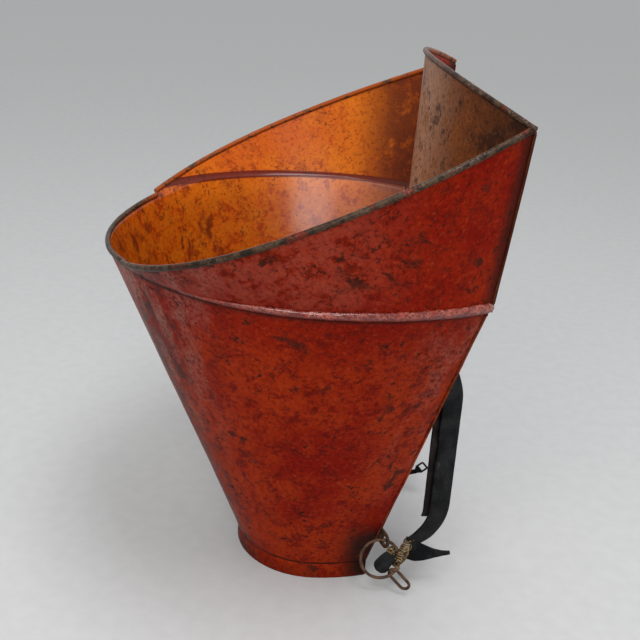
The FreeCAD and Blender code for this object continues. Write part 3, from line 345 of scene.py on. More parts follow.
def worn_wire():
    """The rolled rim: dark, rubbed by hands, with the inside's orange on its inner flank."""
    s = Shader("worn_wire", (0.016, 0.0095, 0.006))
    brown, red = (0.06, 0.034, 0.019), (0.13, 0.015, 0.007)
    bare, soot, orange = (0.15, 0.09, 0.064), (0.008, 0.005, 0.004), (0.3, 0.056, 0.006)
    mottle = s.cloud(70, 6, 0.7, seed=71)
    fine = s.cloud(320, 6, 0.75, seed=72)
    s.lay(brown, s.band(mottle, 0.42, 0.58))
    reddened = s.both(s.band(s.cloud(34, 4, seed=73), 0.57, 0.64), s.band(s.z, 0.5, 0.6), 0.8)
    s.lay(red, reddened)
    rubbed = s.both(s.band(fine, 0.48, 0.6), s.band(s.cloud(20, 3, seed=74), 0.47, 0.58))
    s.lay(bare, s.both(rubbed, 0.6))
    s.lay(soot, s.band(fine, 0.48, 0.4, 0.7))
    inner = s.both(s.band(s.both(s.facing_x, s.x), 0.02, -0.06), s.band(s.y, -0.235, -0.205))
    inner = s.both(inner, s.band(mottle, 0.62, 0.5), 0.85)
    s.lay(orange, inner)
    normal = s.bump(s.sum("ADD", fine, s.both(mottle, 2)), 0.5, 0.35)
    rough = s.either(s.band(mottle, 0.3, 0.7, 0.55), 0.36)
    return s.finish(rough, normal, metallic=0.05, shine=0.1)


def seam_paint():
    """Glossy paint on the hammered seam, rubbed pale along its top and with a painted highlight there, and
    painted shadow underneath.
    """
    s = Shader("seam_paint", (0.12, 0.004, 0.0014))
    bright, rubbed = (0.25, 0.02, 0.006), (0.4, 0.15, 0.115)
    pitted, red, shadow = (0.026, 0.007, 0.0045), (0.11, 0.006, 0.003), (0.022, 0.005, 0.0035)
    mottle = s.cloud(60, 6, 0.7, seed=81)
    fine = s.cloud(300, 6, 0.75, seed=82)
    s.lay(bright, s.band(mottle, 0.42, 0.58))
    level = along_seam(s)
    # The bead's top is pale, partly from rubbed paint and partly from a painted highlight.
    crest_wear_and_highlight = s.both(s.band(level, 0.502, 0.505), s.band(s.cloud(40, 4, seed=83), 0.38, 0.5))
    crest_wear_and_highlight = s.both(crest_wear_and_highlight, s.band(s.y, -0.12, -0.05), s.band(fine, 0.4, 0.54), 0.45)
    s.lay(rubbed, crest_wear_and_highlight)
    s.lay(pitted, s.band(fine, 0.49, 0.43, 0.8))
    s.lay(red, s.band(mottle, 0.5, 0.42, 0.8))
    s.lay(shadow, s.band(level, 0.5015, 0.4975, 0.9))
    wave = s.bump(mottle, 0.8, 1.5)
    normal = s.bump(fine, 0.15, 0.15, wave)
    gloss = s.both(s.band(level, 0.5, 0.5035), 0.9)
    return s.finish(s.band(mottle, 0.3, 0.7, 0.5), normal, shine=0.12, coat=gloss, coat_rough=0.14)


def rusty_iron(name, dark, light, seed, rough=0.72):
    s = Shader(name, dark)
    mottle = s.cloud(120, 6, 0.7, seed=seed)
    fine = s.cloud(700, 5, 0.7, seed=seed + 1)
    s.lay(light, s.band(mottle, 0.38, 0.64))
    rust = tuple(c * k for c, k in zip(light, (1.7, 1.15, 0.75)))
    s.lay(rust, s.band(fine, 0.56, 0.7, 0.6))
    s.lay(tuple(c * 0.4 for c in dark), s.band(fine, 0.44, 0.32, 0.7))
    normal = s.bump(s.sum("ADD", fine, s.both(mottle, 1.5)), 0.7, 0.4)
    rough = s.either(s.band(mottle, 0.3, 0.7, rough), rough * 0.6)
    return s.finish(rough, normal, metallic=0.3, shine=0.25)


def leather(name, base, worn_colour, seed):
    """Stiff old harness leather: fine grain, cross creases, rubbed edges and scratch marks."""
    s = Shader(name, base)
    grain = s.cells(1100)
    patch = s.cloud(30, 5, 0.65, seed=seed)
    fine = s.cloud(380, 5, 0.7, seed=seed + 1)
    crease = s.cloud(75, 4, 0.65, (0.35, 0.35, 2.4), seed=seed + 2)
    brown = tuple(c * 1.8 + 0.006 for c in base)
    s.lay(brown, s.band(patch, 0.42, 0.66))
    s.lay(worn_colour, s.both(s.band(fine, 0.5, 0.68), s.band(patch, 0.47, 0.6), 0.75))
    mark = s.cloud(420, 2, 0.5, (1, 1, 0.05), (0.05, 0, 0), seed + 3)
    mark = s.both(s.band(mark, 0.69, 0.74), s.band(s.cloud(26, 2, seed=seed + 4), 0.55, 0.62))
    s.lay((0.2, 0.2, 0.19), s.both(mark, 0.8))
    height = s.sum("ADD", s.both(grain, 0.6), s.both(crease, 1.6))
    normal = s.bump(s.sum("SUBTRACT", height, mark), 0.55, 0.35)
    rough = s.either(s.band(patch, 0.3, 0.7, 0.62), 0.44)
    return s.finish(rough, normal, shine=0.07)


def brass_wire():
    s = Shader("brass_wire", (0.03, 0.018, 0.009))
    mottle = s.cloud(160, 5, 0.7, seed=121)
    s.lay((0.3, 0.19, 0.07), s.band(mottle, 0.4, 0.62))
    s.lay((0.62, 0.5, 0.3), s.band(mottle, 0.58, 0.68, 0.6))
    normal = s.bump(mottle, 0.5, 0.3)
    return s.finish(s.either(s.band(mottle, 0.3, 0.7, 0.6), 0.38), normal, metallic=0.5, shine=0.4)


def pale_floor():
    s = Shader("pale_floor", (0.465, 0.465, 0.462))
    fine = s.cloud(40, 4, seed=131)
    s.lay((0.49, 0.49, 0.487), s.band(fine, 0.3, 0.7))
    normal = s.bump(s.cloud(60, 3, seed=132), 0.05, 0.4)
    return s.finish(0.7, normal, shine=0.1)


OUTSIDE = paint_outside()
INSIDE = paint_inside()
PANEL = paint_panel()
WIRE = worn_wire()
SEAM_PAINT = seam_paint()
IRON = rusty_iron("rusty_iron", (0.03, 0.016, 0.01), (0.105, 0.052, 0.028), 91)
BLACK_IRON = rusty_iron("black_iron", (0.006, 0.006, 0.006), (0.02, 0.018, 0.017), 94, 0.55)
RIVET = rusty_iron("rivet_metal", (0.16, 0.055, 0.04), (0.34, 0.2, 0.155), 97, 0.5)
LEATHER = leather("black_leather", (0.003, 0.0032, 0.0037), (0.03, 0.029, 0.028), 101)
LINING = leather("lining_leather", (0.007, 0.0048, 0.0042), (0.04, 0.028, 0.024), 111)
BRASS = brass_wire()


# ---------------- mesh making
def make_object(name, points, faces, materials):
    mesh = bpy.data.meshes.new(name)
    mesh.from_pydata([p * MM for p in points], [], faces)
    mesh.validate()
    mesh.update()
    for polygon in mesh.polygons:
        polygon.use_smooth = True
    for material in materials:
        mesh.materials.append(material)
    return put_in_scene(name, mesh)


def stand_for(made, body, slot, *nodes):
    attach(made, body)
    if nodes:
        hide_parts(*nodes)


def painted(made, node):
    stand_for(made, "hod", "red_paint", node)


def grid_faces(rows, columns, wrap=False):
    faces = []
    for i in range(rows - 1):
        for j in range(columns if wrap else columns - 1):
            k = (j + 1) % columns
            faces.append((i * columns + j, i * columns + k, (i + 1) * columns + k, (i + 1) * columns + j))
    return faces


def rod_faces(rows, sides):
    """The faces of a closed-ended rod."""
    start, end = tuple(reversed(range(sides))), tuple((rows - 1) * sides + j for j in range(sides))
    return grid_faces(rows, sides, True) + [start, end]


def sheet(name, rows, materials, thick, outward):
    """A sheet of metal from rows of points on its outer face, thickened inwards.
    The first material is the outer face's, the second the inner face's."""
    points = [p for row in rows for p in row]
    faces = grid_faces(len(rows), len(rows[0]))
    middle = len(rows) // 2
    a, b, c = rows[middle][0], rows[middle][1], rows[middle + 1][0]
    if (b - a).cross(c - a).dot(outward(a)) < 0:
        faces = [tuple(reversed(face)) for face in faces]
    made = make_object(name, points, faces, materials)
    solidify = made.modifiers.new("thickness", "SOLIDIFY")
    solidify.thickness = thick * MM
    solidify.offset = -1
    solidify.use_even_offset = True
    solidify.material_offset = len(materials) - 1
    return made


def tube(name, path, radius, materials, sides=14, closed=False, flat=1, up=UP):
    """A rod along a path. radius is a number, or a function of the share along the path;
    flat narrows it across its own up direction."""
    count = len(path)
    points = []
    for i, p in enumerate(path):
        before = path[(i - 1) % count] if closed or i else path[0]
        after = path[(i + 1) % count] if closed or i < count - 1 else path[-1]
        along = (after - before).normalized()
        side = along.cross(up).normalized()
        over = side.cross(along)
        size = radius(i / (count - 1)) if callable(radius) else radius
        for j in range(sides):
            angle = math.tau * j / sides
            points.append(p + side * (size * flat * math.cos(angle)) + over * (size * math.sin(angle)))
    if not closed:
        return make_object(name, points, rod_faces(count, sides), materials)
    last = (count - 1) * sides
    faces = [(last + j, last + (j + 1) % sides, (j + 1) % sides, j) for j in range(sides)]
    return make_object(name, points, grid_faces(count, sides, True) + faces, materials)


def strap_body(side):
    return "strap_%s_assembly" % side


def spaced(first, last, count):
    return [first + (last - first) * i / (count - 1) for i in range(count)]


def ripple(p, size, seed):
    """Smooth noise from -1 to 1 at a place."""
    return noise.noise(Vector((p.x / size + seed, p.y / size - seed, p.z / size + 2 * seed)))


# ---------------- the hod's surfaces
SECTION_AXIS = -8.35


class Section:
    """A level section of the hod: round front, bent sides and hollow back."""

    def __init__(self, level, radius, centre, half, corner, hollow):
        self.level = level
        self.radius = radius
        self.centre = centre
        self.side = ((radius - half) ** 2 + (corner - centre) ** 2) / (2 * (radius - half))
        self.sweep = math.asin((corner - centre) / self.side)
        self.arc = (half ** 2 + hollow ** 2) / (2 * hollow)
        self.spread = math.asin(half / self.arc)
        self.back_middle = corner - hollow + SHEET

    def belly(self, turn):
        """A point of the front and sides: 0 is the front, 1 and -1 the widest, 2 and -2 the corners."""
        hand = 1 if turn >= 0 else -1
        turn = abs(turn)
        if turn <= 1:
            angle = turn * math.pi / 2
            x, y = self.radius * math.sin(angle), self.centre - self.radius * math.cos(angle)
        else:
            angle = self.sweep * (turn - 1)
            x = self.radius - self.side * (1 - math.cos(angle))
            y = self.centre + self.side * math.sin(angle)
        return Vector((hand * x, y + SECTION_AXIS, self.level))

    def back(self, across):
        """A point of the back panel's rear face, from -1 to 1 across it."""
        angle = self.spread * across
        y = self.back_middle + self.arc * (1 - math.cos(angle))
        return Vector((self.arc * math.sin(angle), y + SECTION_AXIS, self.level))


FOOT = Section(0, 118, 63.5, 105, 145, 16)
LOW = Section(12, 112, 63.5, 99.8, 140.6, 16)
HIGH = Section(540, 306, 40, 237.5, 261.6, 85.6)
SEAM = Section(489, 293.8, 37, 230, 252.5, 79.7)
RIM_HALF = 270
RIM = Section(720, 378, -90, RIM_HALF, 264.6, 84.3)

LIP_LEVEL = 500
LIP_FRONT = -250 + SECTION_AXIS
LIP_SLOPE = 0.21
EDGE_LEVEL = 522
EDGE_BEND = 100 + SECTION_AXIS
EDGE_END = 200 + SECTION_AXIS
EDGE_END_LEVEL = 515
COVERED_LEVEL = 494
NOTCH = -207 + SECTION_AXIS
RIM_LOW = 513
RIM_SLOPE = (720 - RIM_LOW) / (264.6 + SECTION_AXIS - NOTCH)
SEAM_SLOPE = -0.04
SEAM_CORNER = 252.5 + SECTION_AXIS
CROWN_RISE = 41
FOOT_THICK = 1.4
BEAD_DROP = BEAD * 0.6
DENTS = ((0.9, 150, 3.1), (0.45, 52, 7.7), (0.1, 17, 5.3))


def between(first, second, level, at):
    """The ruled surface between two sections, at a level; at picks the point on a section."""
    share = (level - first.level) / (second.level - first.level)
    return at(first).lerp(at(second), share)


def outward(p):
    """Level direction from the middle of the hod."""
    return Vector((p.x, p.y - 35, 0)).normalized()


def warped(p):
    """The point pushed a little inwards, as old sheet metal is nowhere true."""
    depth = 0
    for most, size, seed in DENTS:
        depth += most * (1 + ripple(p, size, seed))
    ease = min(max((p.z - 30) / 120, 0), 1)
    return p - outward(p) * depth * ease


def solve_level(point_at, level_at):
    """Where a surface, point_at(level), meets a height field, level_at(point)."""
    level = 500
    for _ in range(14):
        level = level_at(point_at(level))
    return level


def tank_point(turn, level):
    return between(LOW, HIGH, level, lambda s: s.belly(turn))


def collar_line(turn):
    """The straight line of the collar's surface at a turn, from its sloping lower edge up."""
    low = SEAM.belly(turn)
    low.z += SEAM_SLOPE * (low.y - SEAM_CORNER)
    return low, RIM.belly(turn)


def collar_point(turn, share):
    """A point of the collar's side; share is 0 at its lower edge and 1 at the sloping rim."""
    low, high = collar_line(turn)
    rise = high - low
    reach = (rim_level(low) - low.z) / (rise.z - RIM_SLOPE * rise.y)
    return low + rise * reach * share


def lip_level(p):
    return LIP_LEVEL + LIP_SLOPE * (p.y - LIP_FRONT)


def rim_level(p):
    return RIM_LOW + RIM_SLOPE * (p.y - NOTCH)


def tank_edge(p):
    """Height of the tank's top edge: the sloping lip, then level, then falling at the corners."""
    if p.y > EDGE_END:
        return COVERED_LEVEL
    if p.y > EDGE_BEND:
        return EDGE_LEVEL + (EDGE_END_LEVEL - EDGE_LEVEL) * (p.y - EDGE_BEND) / (EDGE_END - EDGE_BEND)
    return min(lip_level(p) - BEAD_DROP, EDGE_LEVEL)


def tank_belly():
    columns = []
    for turn in spaced(-2, 2, 241):
        top = solve_level(lambda level: tank_point(turn, level), tank_edge)
        columns.append([warped(tank_point(turn, level)) for level in spaced(LOW.level, top, 70)])
    made = sheet("tank_belly_sheet", list(zip(*columns)), [OUTSIDE, INSIDE], SHEET, outward)
    painted(made, "tank_belly")


def tank_back():
    grid = [[between(LOW, HIGH, level, lambda s: s.back(across)) for across in spaced(-1, 1, 90)]
            for level in spaced(LOW.level, SEAM.level - 0.3, 70)]
    grid = [[p + REAR * 0.6 * ripple(p, 60, 1.7) for p in row] for row in grid]
    made = sheet("tank_back_sheet", grid, [OUTSIDE, PANEL], SHEET, lambda p: REAR)
    painted(made, "tank_back")


def turn_where(point_at, place):
    """The turn at which the line point_at(turn) passes a place along y."""
    low, high = 0, 1
    for _ in range(30):
        middle = (low + high) / 2
        if point_at(middle).y < place:
            low = middle
        else:
            high = middle
    return low


def notch_turn(share):
    """The turn where the collar's front edge stands, at a share of its height."""
    return turn_where(lambda turn: collar_point(turn, share), NOTCH)


def collar_side(name, hand):
    first, last = notch_turn(0), notch_turn(1)
    grid = []
    for height in spaced(0, 1, 46):
        start = first + (last - first) * height
        grid.append([warped(collar_point(hand * turn, height)) for turn in spaced(start, 2, 170)])
    made = sheet("collar_%s_sheet" % name, grid, [OUTSIDE, INSIDE], SHEET, outward)
    painted(made, "collar_" + name)


def crown_level(across):
    """Height of the back rim's wire, an arc over the corners."""
    arc = (RIM_HALF ** 2 + CROWN_RISE ** 2) / (2 * CROWN_RISE)
    return RIM.level + CROWN_RISE - arc + math.sqrt(arc ** 2 - (across * RIM_HALF) ** 2)


def back_rim_point(across):
    """A point of the back rim's wire, on the back panel's own surface."""
    p = between(SEAM, RIM, crown_level(across), lambda s: s.back(across))
    return p - REAR * SHEET / 2


def back_ripple(p):
    return REAR * 0.7 * ripple(p, 70, 2.9)


def collar_back():
    columns = []
    for across in spaced(-1, 1, 110):
        top = crown_level(across) - BEAD * 0.8
        levels = spaced(SEAM.level, top, 46)
        column = [between(SEAM, RIM, level, lambda s: s.back(across)) for level in levels]
        columns.append([p + back_ripple(p) for p in column])
    made = sheet("collar_back_sheet", list(zip(*columns)), [OUTSIDE, PANEL], SHEET, lambda p: REAR)
    painted(made, "collar_back")


# The foot band's profile: level, and how far its face stands out.
FOOT_PROFILE = ((0, -0.4), (1.2, 0), (4, 0), (12, -0.15), (20, -0.1), (23.5, 0), (25, -0.5))


def foot_ring():
    loop = [FOOT.belly(turn) for turn in spaced(-2, 2, 161)]
    loop += [FOOT.back(across) for across in spaced(1, -1, 60)[1:-1]]
    rows = []
    for level, out in FOOT_PROFILE:
        ring = [Vector((p.x, p.y, level)) - outward(p) * (0.15 - out) for p in loop]
        ring = [p - outward(p) * 0.35 * (1 + ripple(p, 40, 4.4)) for p in ring]
        rows.append(ring + ring[:1])
    made = sheet("foot_ring_band", rows, [OUTSIDE, INSIDE], FOOT_THICK, outward)
    painted(made, "foot_ring")


# ---------------- rolled rims
RIM_WIRE, LIP_WIRE, BACK_WIRE = 4.2, 3.9, 3.8
RIM_INSET = 1.3


def rim_radius(path, seed, size=RIM_WIRE):
    """A wired edge is a little fuller here and thinner there, with a few nicks."""
    def radius(share):
        p = path[min(int(share * (len(path) - 1) + 0.5), len(path) - 1)]
        nick = max(0, ripple(p, 23, seed + 2) - 0.45)
        return size * (0.94 + 0.045 * ripple(p, 14, seed) + 0.02 * ripple(p, 5, seed + 1) - 0.35 * nick)
    return radius


def inset(p):
    return warped(p) - outward(p) * RIM_INSET


def lip_point(turn):
    """A point of the tank's sloping lip, under its wire."""
    return tank_point(turn, solve_level(lambda level: tank_point(turn, level), lip_level))


def rim_beads():
    first = notch_turn(1) + 0.004
    for name, hand in SIDES:
        path = [inset(collar_point(hand * turn, 1)) for turn in spaced(first, 1.985, 260)]
        made = tube("rim_wire_" + name, path, rim_radius(path, 3.3), [WIRE])
        stand_for(made, "hod", "worn_wire", "rim_bead_" + name)
    end = turn_where(lip_point, NOTCH + 3)
    path = [inset(lip_point(turn)) + UP * 0.4 for turn in spaced(-end, end, 200)]
    made = tube("lip_wire", path, rim_radius(path, 5.5, LIP_WIRE), [WIRE])
    stand_for(made, "hod", "worn_wire", "lip_bead")
    path = [back_rim_point(across) for across in spaced(-0.995, 0.995, 220)]
    path = [p + back_ripple(p) - REAR * 0.8 - UP * 0.6 for p in path]
    made = tube("back_rim_wire", path, rim_radius(path, 8.1, BACK_WIRE), [WIRE])
    stand_for(made, "hod", "worn_wire", "rim_bead_back")


# ---------------- the hammered seam
SEAM_LIFT = 6.6
SEAM_TALL = 7.6
SEAM_START, SEAM_END = 0.62, 1.975


def seam_ring(p, upward, share, sides):
    """One ring of the bead, half round on the outside and nearly flat against the sheet."""
    out = outward(p)
    fade = min(1, 0.04 + share * 4.4)
    size = SEAM_LIFT * (1.06 - 0.22 * share) * fade * (0.92 + 0.1 * ripple(p, 11, 6.6))
    tall = SEAM_TALL * (0.35 + 0.65 * fade) * (0.98 + 0.04 * ripple(p, 19, 2.2))
    middle = p + upward * (tall - 1.4 + 0.7 * ripple(p, 25, 9.1)) + out * (0.4 * fade - 0.4)
    ring = []
    for j in range(sides):
        angle = math.tau * j / sides
        beat = 1 + 0.1 * ripple(p + UP * 9 * math.sin(angle), 6.5, 12.4)
        reach = size * beat if math.cos(angle) > 0 else 0.8
        ring.append(middle + out * reach * math.cos(angle) + upward * tall * math.sin(angle))
    return ring


def seam_beads():
    """The half-round bead, beaten flat in places; it fades out towards the front."""
    steps, sides = 320, 20
    for name, hand in SIDES:
        points = []
        for share in spaced(0, 1, steps):
            low, high = collar_line(hand * (SEAM_START + (SEAM_END - SEAM_START) * share))
            points += seam_ring(warped(low), (high - low).normalized(), share, sides)
        made = make_object("seam_roll_" + name, points, rod_faces(steps, sides), [SEAM_PAINT])
        painted(made, "seam_bead_" + name)


DOME_PLACE = Vector((232.2, 249.5 + SECTION_AXIS, 495))
DOME_RADIUS, DOME_RISE = 6, 3


def domes():
    """The pale round heads that close the seam at the back corners, hammered off round."""
    points, faces = [], []
    for _, hand in SIDES:
        base = Vector((hand * DOME_PLACE.x, DOME_PLACE.y, DOME_PLACE.z))
        out = Vector((hand, 0.45, -0.15)).normalized()
        side = out.cross(UP).normalized()
        over = side.cross(out)
        start = len(points)
        rings, sides = 7, 22
        for angle in spaced(0, math.pi / 2, rings):
            for j in range(sides):
                turn = math.tau * j / sides
                uneven = 1 + 0.05 * math.sin(2 * turn + 1) + 0.03 * math.sin(5 * turn)
                size = DOME_RADIUS * math.cos(angle) * uneven
                rise = DOME_RISE * math.sin(angle) * (1 - 0.12 * math.cos(turn))
                across = side * math.cos(turn) + over * math.sin(turn)
                points.append(base + out * (rise - 0.4) + across * size)
        faces += [tuple(start + k for k in face) for face in grid_faces(rings, sides, True)]
        faces.append(tuple(start + j for j in reversed(range(sides))))
    made = make_object("corner_rivet_heads", points, faces, [RIVET])
    made.modifiers.new("weld", "WELD").merge_threshold = 0.0002
    stand_for(made, "hod", "rivet_metal", "corner_rivets")


FOLD_WIRE, FOLD_ASIDE, FOLD_BEHIND = 1.5, 0.2, 0.4
FOLD_FOOT, FOLD_TOP = 98, 486


def folds():
    """The pressed seams between the sides and the back, flat against the corner."""
    for name, hand in SIDES:
        shift = Vector((hand * FOLD_ASIDE, SHEET + FOLD_BEHIND, 0))
        low = [warped(tank_point(hand * 2, level)) + shift for level in spaced(FOLD_FOOT, FOLD_TOP, 140)]
        high = [warped(collar_point(hand * 2, share)) + shift for share in spaced(0.05, 0.975, 90)]
        for label, path, seed in (("low_", low, 1.4), ("high_", high, 1.9)):
            size = rim_radius(path, seed, FOLD_WIRE)
            made = tube("fold_seam_" + label + name, path, size, [OUTSIDE], flat=0.7, up=REAR)
            painted(made, "fold_" + label + name)


# ---------------- straps
STRAP_X = 122
STRAP_REACH = 241 + SECTION_AXIS
STRAP_LOW, STRAP_HIGH = 140, 300
LOW_BEND, LOW_TURN = 75, math.radians(60)
HIGH_BEND, HIGH_TURN = 300, math.radians(24)
TWIST_TOP, TWIST = math.radians(-20.5), math.radians(62)
STRAP_WIDE, STRAP_THICK, STRAP_ASIDE = 38, 5, 1.6
LINING_THICK, LINING_ASIDE = 3.5, 6.5
WRAP_RISE, WRAP_BEND, WRAP_HALF, WRAP_THICK = 6.7, 6.3, 17.6, 3.2


def strap_axes(run, hand):
    """Place, width, face and travel directions at a run from 0, the top end, to 1."""
    lengths = (HIGH_BEND * HIGH_TURN, STRAP_HIGH - STRAP_LOW, LOW_BEND * LOW_TURN)
    place = run * sum(lengths)
    if place <= lengths[0]:
        angle = HIGH_TURN - place / HIGH_BEND
        y, z = STRAP_REACH - HIGH_BEND * (1 - math.cos(angle)), STRAP_HIGH + HIGH_BEND * math.sin(angle)
    elif place <= lengths[0] + lengths[1]:
        angle = 0
        y, z = STRAP_REACH, STRAP_HIGH - (place - lengths[0])
    else:
        angle = -(place - lengths[0] - lengths[1]) / LOW_BEND
        y, z = STRAP_REACH - LOW_BEND * (1 - math.cos(angle)), STRAP_LOW + LOW_BEND * math.sin(angle)
    travel = Vector((0, math.sin(angle), -math.cos(angle)))
    out = Vector((0, math.cos(angle), math.sin(angle)))
    share = min(max((run - 0.04) / 0.28, 0), 1)
    twist = TWIST_TOP + (TWIST - TWIST_TOP) * share * share * (3 - 2 * share)
    sideways = Vector((hand, 0, 0))
    face = out * math.cos(twist) + sideways * math.sin(twist)
    width = sideways * math.cos(twist) - out * math.sin(twist)
    return Vector((hand * STRAP_X, y, z)), width, face, travel


def strip_profile(half_width, half_thick):
    """A rounded cross-section as (across, through) pairs."""
    soft = half_thick * 0.55
    profile = []
    for side_a, side_b, start in ((1, 1, 0), (-1, 1, 90), (-1, -1, 180), (1, -1, 270)):
        for step in range(4):
            angle = math.radians(start + 30 * step)
            across = side_a * (half_width - soft) + soft * math.cos(angle)
            profile.append((across, side_b * (half_thick - soft) + soft * math.sin(angle)))
    dense = []
    for k, (a, b) in enumerate(profile):
        dense.append((a, b))
        c, d = profile[(k + 1) % len(profile)]
        if abs(c - a) > half_width:
            dense += [(a + (c - a) * m / 6, b + (d - b) * m / 6) for m in range(1, 6)]
    return dense


def strip(name, stations, materials, seed):
    """Leather swept through stations of (place, width, face, half width, half thickness)."""
    points = []
    for centre, width, face, half_width, half_thick in stations:
        for across, through in strip_profile(half_width, half_thick):
            p = centre + width * across + face * through
            edge = abs(across) / half_width
            dip = 0.28 * ripple(p, 16, seed) - 0.25 * edge ** 4
            p = p + face * dip * (1 if through > 0 else -1) + width * 0.35 * ripple(p, 30, seed + 1) * edge
            points.append(p)
    rows = len(stations)
    return make_object(name, points, rod_faces(rows, len(points) // rows), materials)


def shifted(run):
    """How far the strap has moved aside on its lining, from 0 near the top to 1."""
    return min(max((run - 0.1) / 0.2, 0), 1)


def strap(name, hand):
    stations = []
    for run in spaced(0, 1, 170):
        centre, width, face, _ = strap_axes(run, hand)
        half = (STRAP_WIDE / 2 - STRAP_ASIDE) * (1 - 0.25 * max((run - 0.93) / 0.07, 0))
        middle = centre - width * STRAP_ASIDE * shifted(run)
        stations.append((middle, width, face, half, STRAP_THICK / 2 - 0.2))
    made = strip("strap_leather_" + name, stations, [LEATHER], 4.2)
    stand_for(made, strap_body(name), "black_leather", "strap_" + name)


def strap_lining(name, hand):
    stations = []
    for run in spaced(0.06, 0.84, 130):
        centre, width, face, _ = strap_axes(run, hand)
        behind = face * (STRAP_THICK / 2 + LINING_THICK / 2 + 0.1)
        middle = centre - behind + width * LINING_ASIDE * shifted(run)
        stations.append((middle, width, face, STRAP_WIDE / 2 - 1, LINING_THICK / 2 - 0.15))
    made = strip("lining_leather_" + name, stations, [LINING], 6.1)
    stand_for(made, strap_body(name), "lining_leather", "strap_lining_" + name)


def strap_folds():
    """The leather turned round the loop's lower bar."""
    for name, hand in SIDES:
        centre, width, face, travel = strap_axes(0, hand)
        bar = centre - travel * WRAP_RISE
        rows = []
        for turn in spaced(math.radians(-250), math.radians(70), 30):
            arm = face * math.cos(turn) - travel * math.sin(turn)
            row = []
            for a in spaced(-WRAP_HALF, WRAP_HALF, 22):
                bend = WRAP_BEND + 0.2 * ripple(bar + arm * 8 + width * a, 9, 3.7)
                row.append(bar + arm * bend + width * a)
            rows.append(row)
        made = sheet("fold_leather_" + name, rows, [LEATHER], WRAP_THICK, lambda p: p - bar)
        stand_for(made, strap_body(name), "black_leather", "strap_fold_" + name)


# ---------------- rings, links and lashings
RING_RADIUS, RING_ROD = 28.5, 2.6
RING_LEAN = math.radians(20)
HITCH_JOINT = next(joint for joint in frame["joints"] if joint["name"] == "strap_swing_right")
HITCH = Vector(HITCH_JOINT["pos_m"]) / MM
RING_ASIDE = 6
LASHING_WIRE, CROSSING_WIRE, LOOSE_WIRE = 1.25, 1, 0.95
LASHING_SPARE = 14
LINK_ROD, LINK_HALF, LINK_STRAIGHT = 2.5, 7.5, 22
LINK_GAP = 0.5
LINK_DROP = math.radians(45)
LINK_SPIN = math.radians(62)
BUCKLE = Vector((-121, 256 + SECTION_AXIS, 57))
BUCKLE_SIZE, BUCKLE_BAR, BUCKLE_SOFT = 17, 3, 2.2
BUCKLE_HALF = (BUCKLE_SIZE - BUCKLE_BAR) / 2
BUCKLE_TURN = math.radians(40)


def ring_axes(hand):
    upward = Vector((-hand * math.sin(RING_LEAN), 0, math.cos(RING_LEAN)))
    hole = Vector((hand * HITCH.x, HITCH.y, HITCH.z))
    drop = math.sqrt(RING_RADIUS ** 2 - RING_ASIDE ** 2)
    return hole - REAR * RING_ASIDE - upward * drop, upward


def forged(size, seed):
    """Uneven thickness of a hand-forged rod."""
    return lambda share: size * (0.93 + 0.06 * noise.noise(Vector((share * 17, seed, 0))))


def rings():
    for name, hand in SIDES:
        centre, upward = ring_axes(hand)
        path = []
        for i in range(96):
            angle = math.tau * i / 96
            reach = RING_RADIUS * (1 + 0.006 * math.sin(2 * angle + 0.7))
            path.append(centre + REAR * reach * math.cos(angle) + upward * reach * math.sin(angle))
        axis = upward.cross(REAR)
        made = tube("iron_ring_" + name, path, forged(RING_ROD, 1.5), [IRON], 12, True, up=axis)
        stand_for(made, strap_body(name), "rusty_iron", "anchor_ring_" + name)


def links():
    for name, hand in SIDES:
        centre, upward = ring_axes(hand)
        down = REAR * math.sin(LINK_DROP) - upward * math.cos(LINK_DROP)
        along = REAR * math.cos(LINK_DROP) + upward * math.sin(LINK_DROP)
        flat = down.cross(along)
        across = flat * math.cos(LINK_SPIN) + along * math.sin(LINK_SPIN) * hand
        near = centre + down * (RING_RADIUS - RING_ROD - LINK_ROD - LINK_GAP)
        first = near + down * LINK_HALF
        last = first + down * LINK_STRAIGHT
        path = []
        for middle, start in ((first, math.pi), (last, 0)):
            for angle in spaced(start, start + math.pi, 18):
                arm = across * math.cos(angle) + down * math.sin(angle)
                path.append(middle + arm * LINK_HALF)
        rod = forged(LINK_ROD, 4.5)
        made = tube("iron_link_" + name, path, rod, [IRON], 12, True, up=down.cross(across))
        stand_for(made, "link_" + name, "rusty_iron", "oval_link_" + name)


def wire(name, path, side, size=LOOSE_WIRE):
    """Brass wire, a little crooked."""
    path = [p + Vector((ripple(p, 9, 1.3), ripple(p, 9, 5.9), ripple(p, 9, 8.8))) * 0.5 for p in path]
    stand_for(tube(name, path, size, [BRASS], 8), strap_body(side), "brass_wire")


def winding(start, along, across, over, length, turns, size, slant, seed):
    """Turns of wire round an oval core, leaning one way and then the other."""
    path = []
    steps = turns * 26
    for i in range(steps + 1):
        share = i / steps
        angle = math.tau * turns * share
        reach = size + 1.1 * noise.noise(Vector((share * 30, seed, 0)))
        lean = slant * math.sin(angle + seed)
        middle = start + along * (length * share + lean)
        path.append(middle + across * reach * 0.78 * math.cos(angle) + over * reach * math.sin(angle))
    return path


def loop_round(centre, first, second, size, wide, lift, turns, start=0):
    """A loose turn of wire, taller than it is wide."""
    path = []
    for i in range(int(40 * turns) + 1):
        angle = start + math.tau * i / 40
        path.append(centre + first * size * math.cos(angle) + second * wide * math.sin(angle)
                    + first.cross(second) * lift * i / 40)
    return path


# Loose turns on the ring: size, width and the turn that they start at.
LOOSE_TURNS = ((7, 4, 0.2), (5.4, 3.6, 1.3), (6.2, 3.4, 2.3))
# The route of the torn leather end, from the ring's middle: rearward, up the ring, and aside.
FLAP_ROUTE = ((26, 7, 1), (12, 5, 2), (5, -8, 2), (-3, -19, 1))


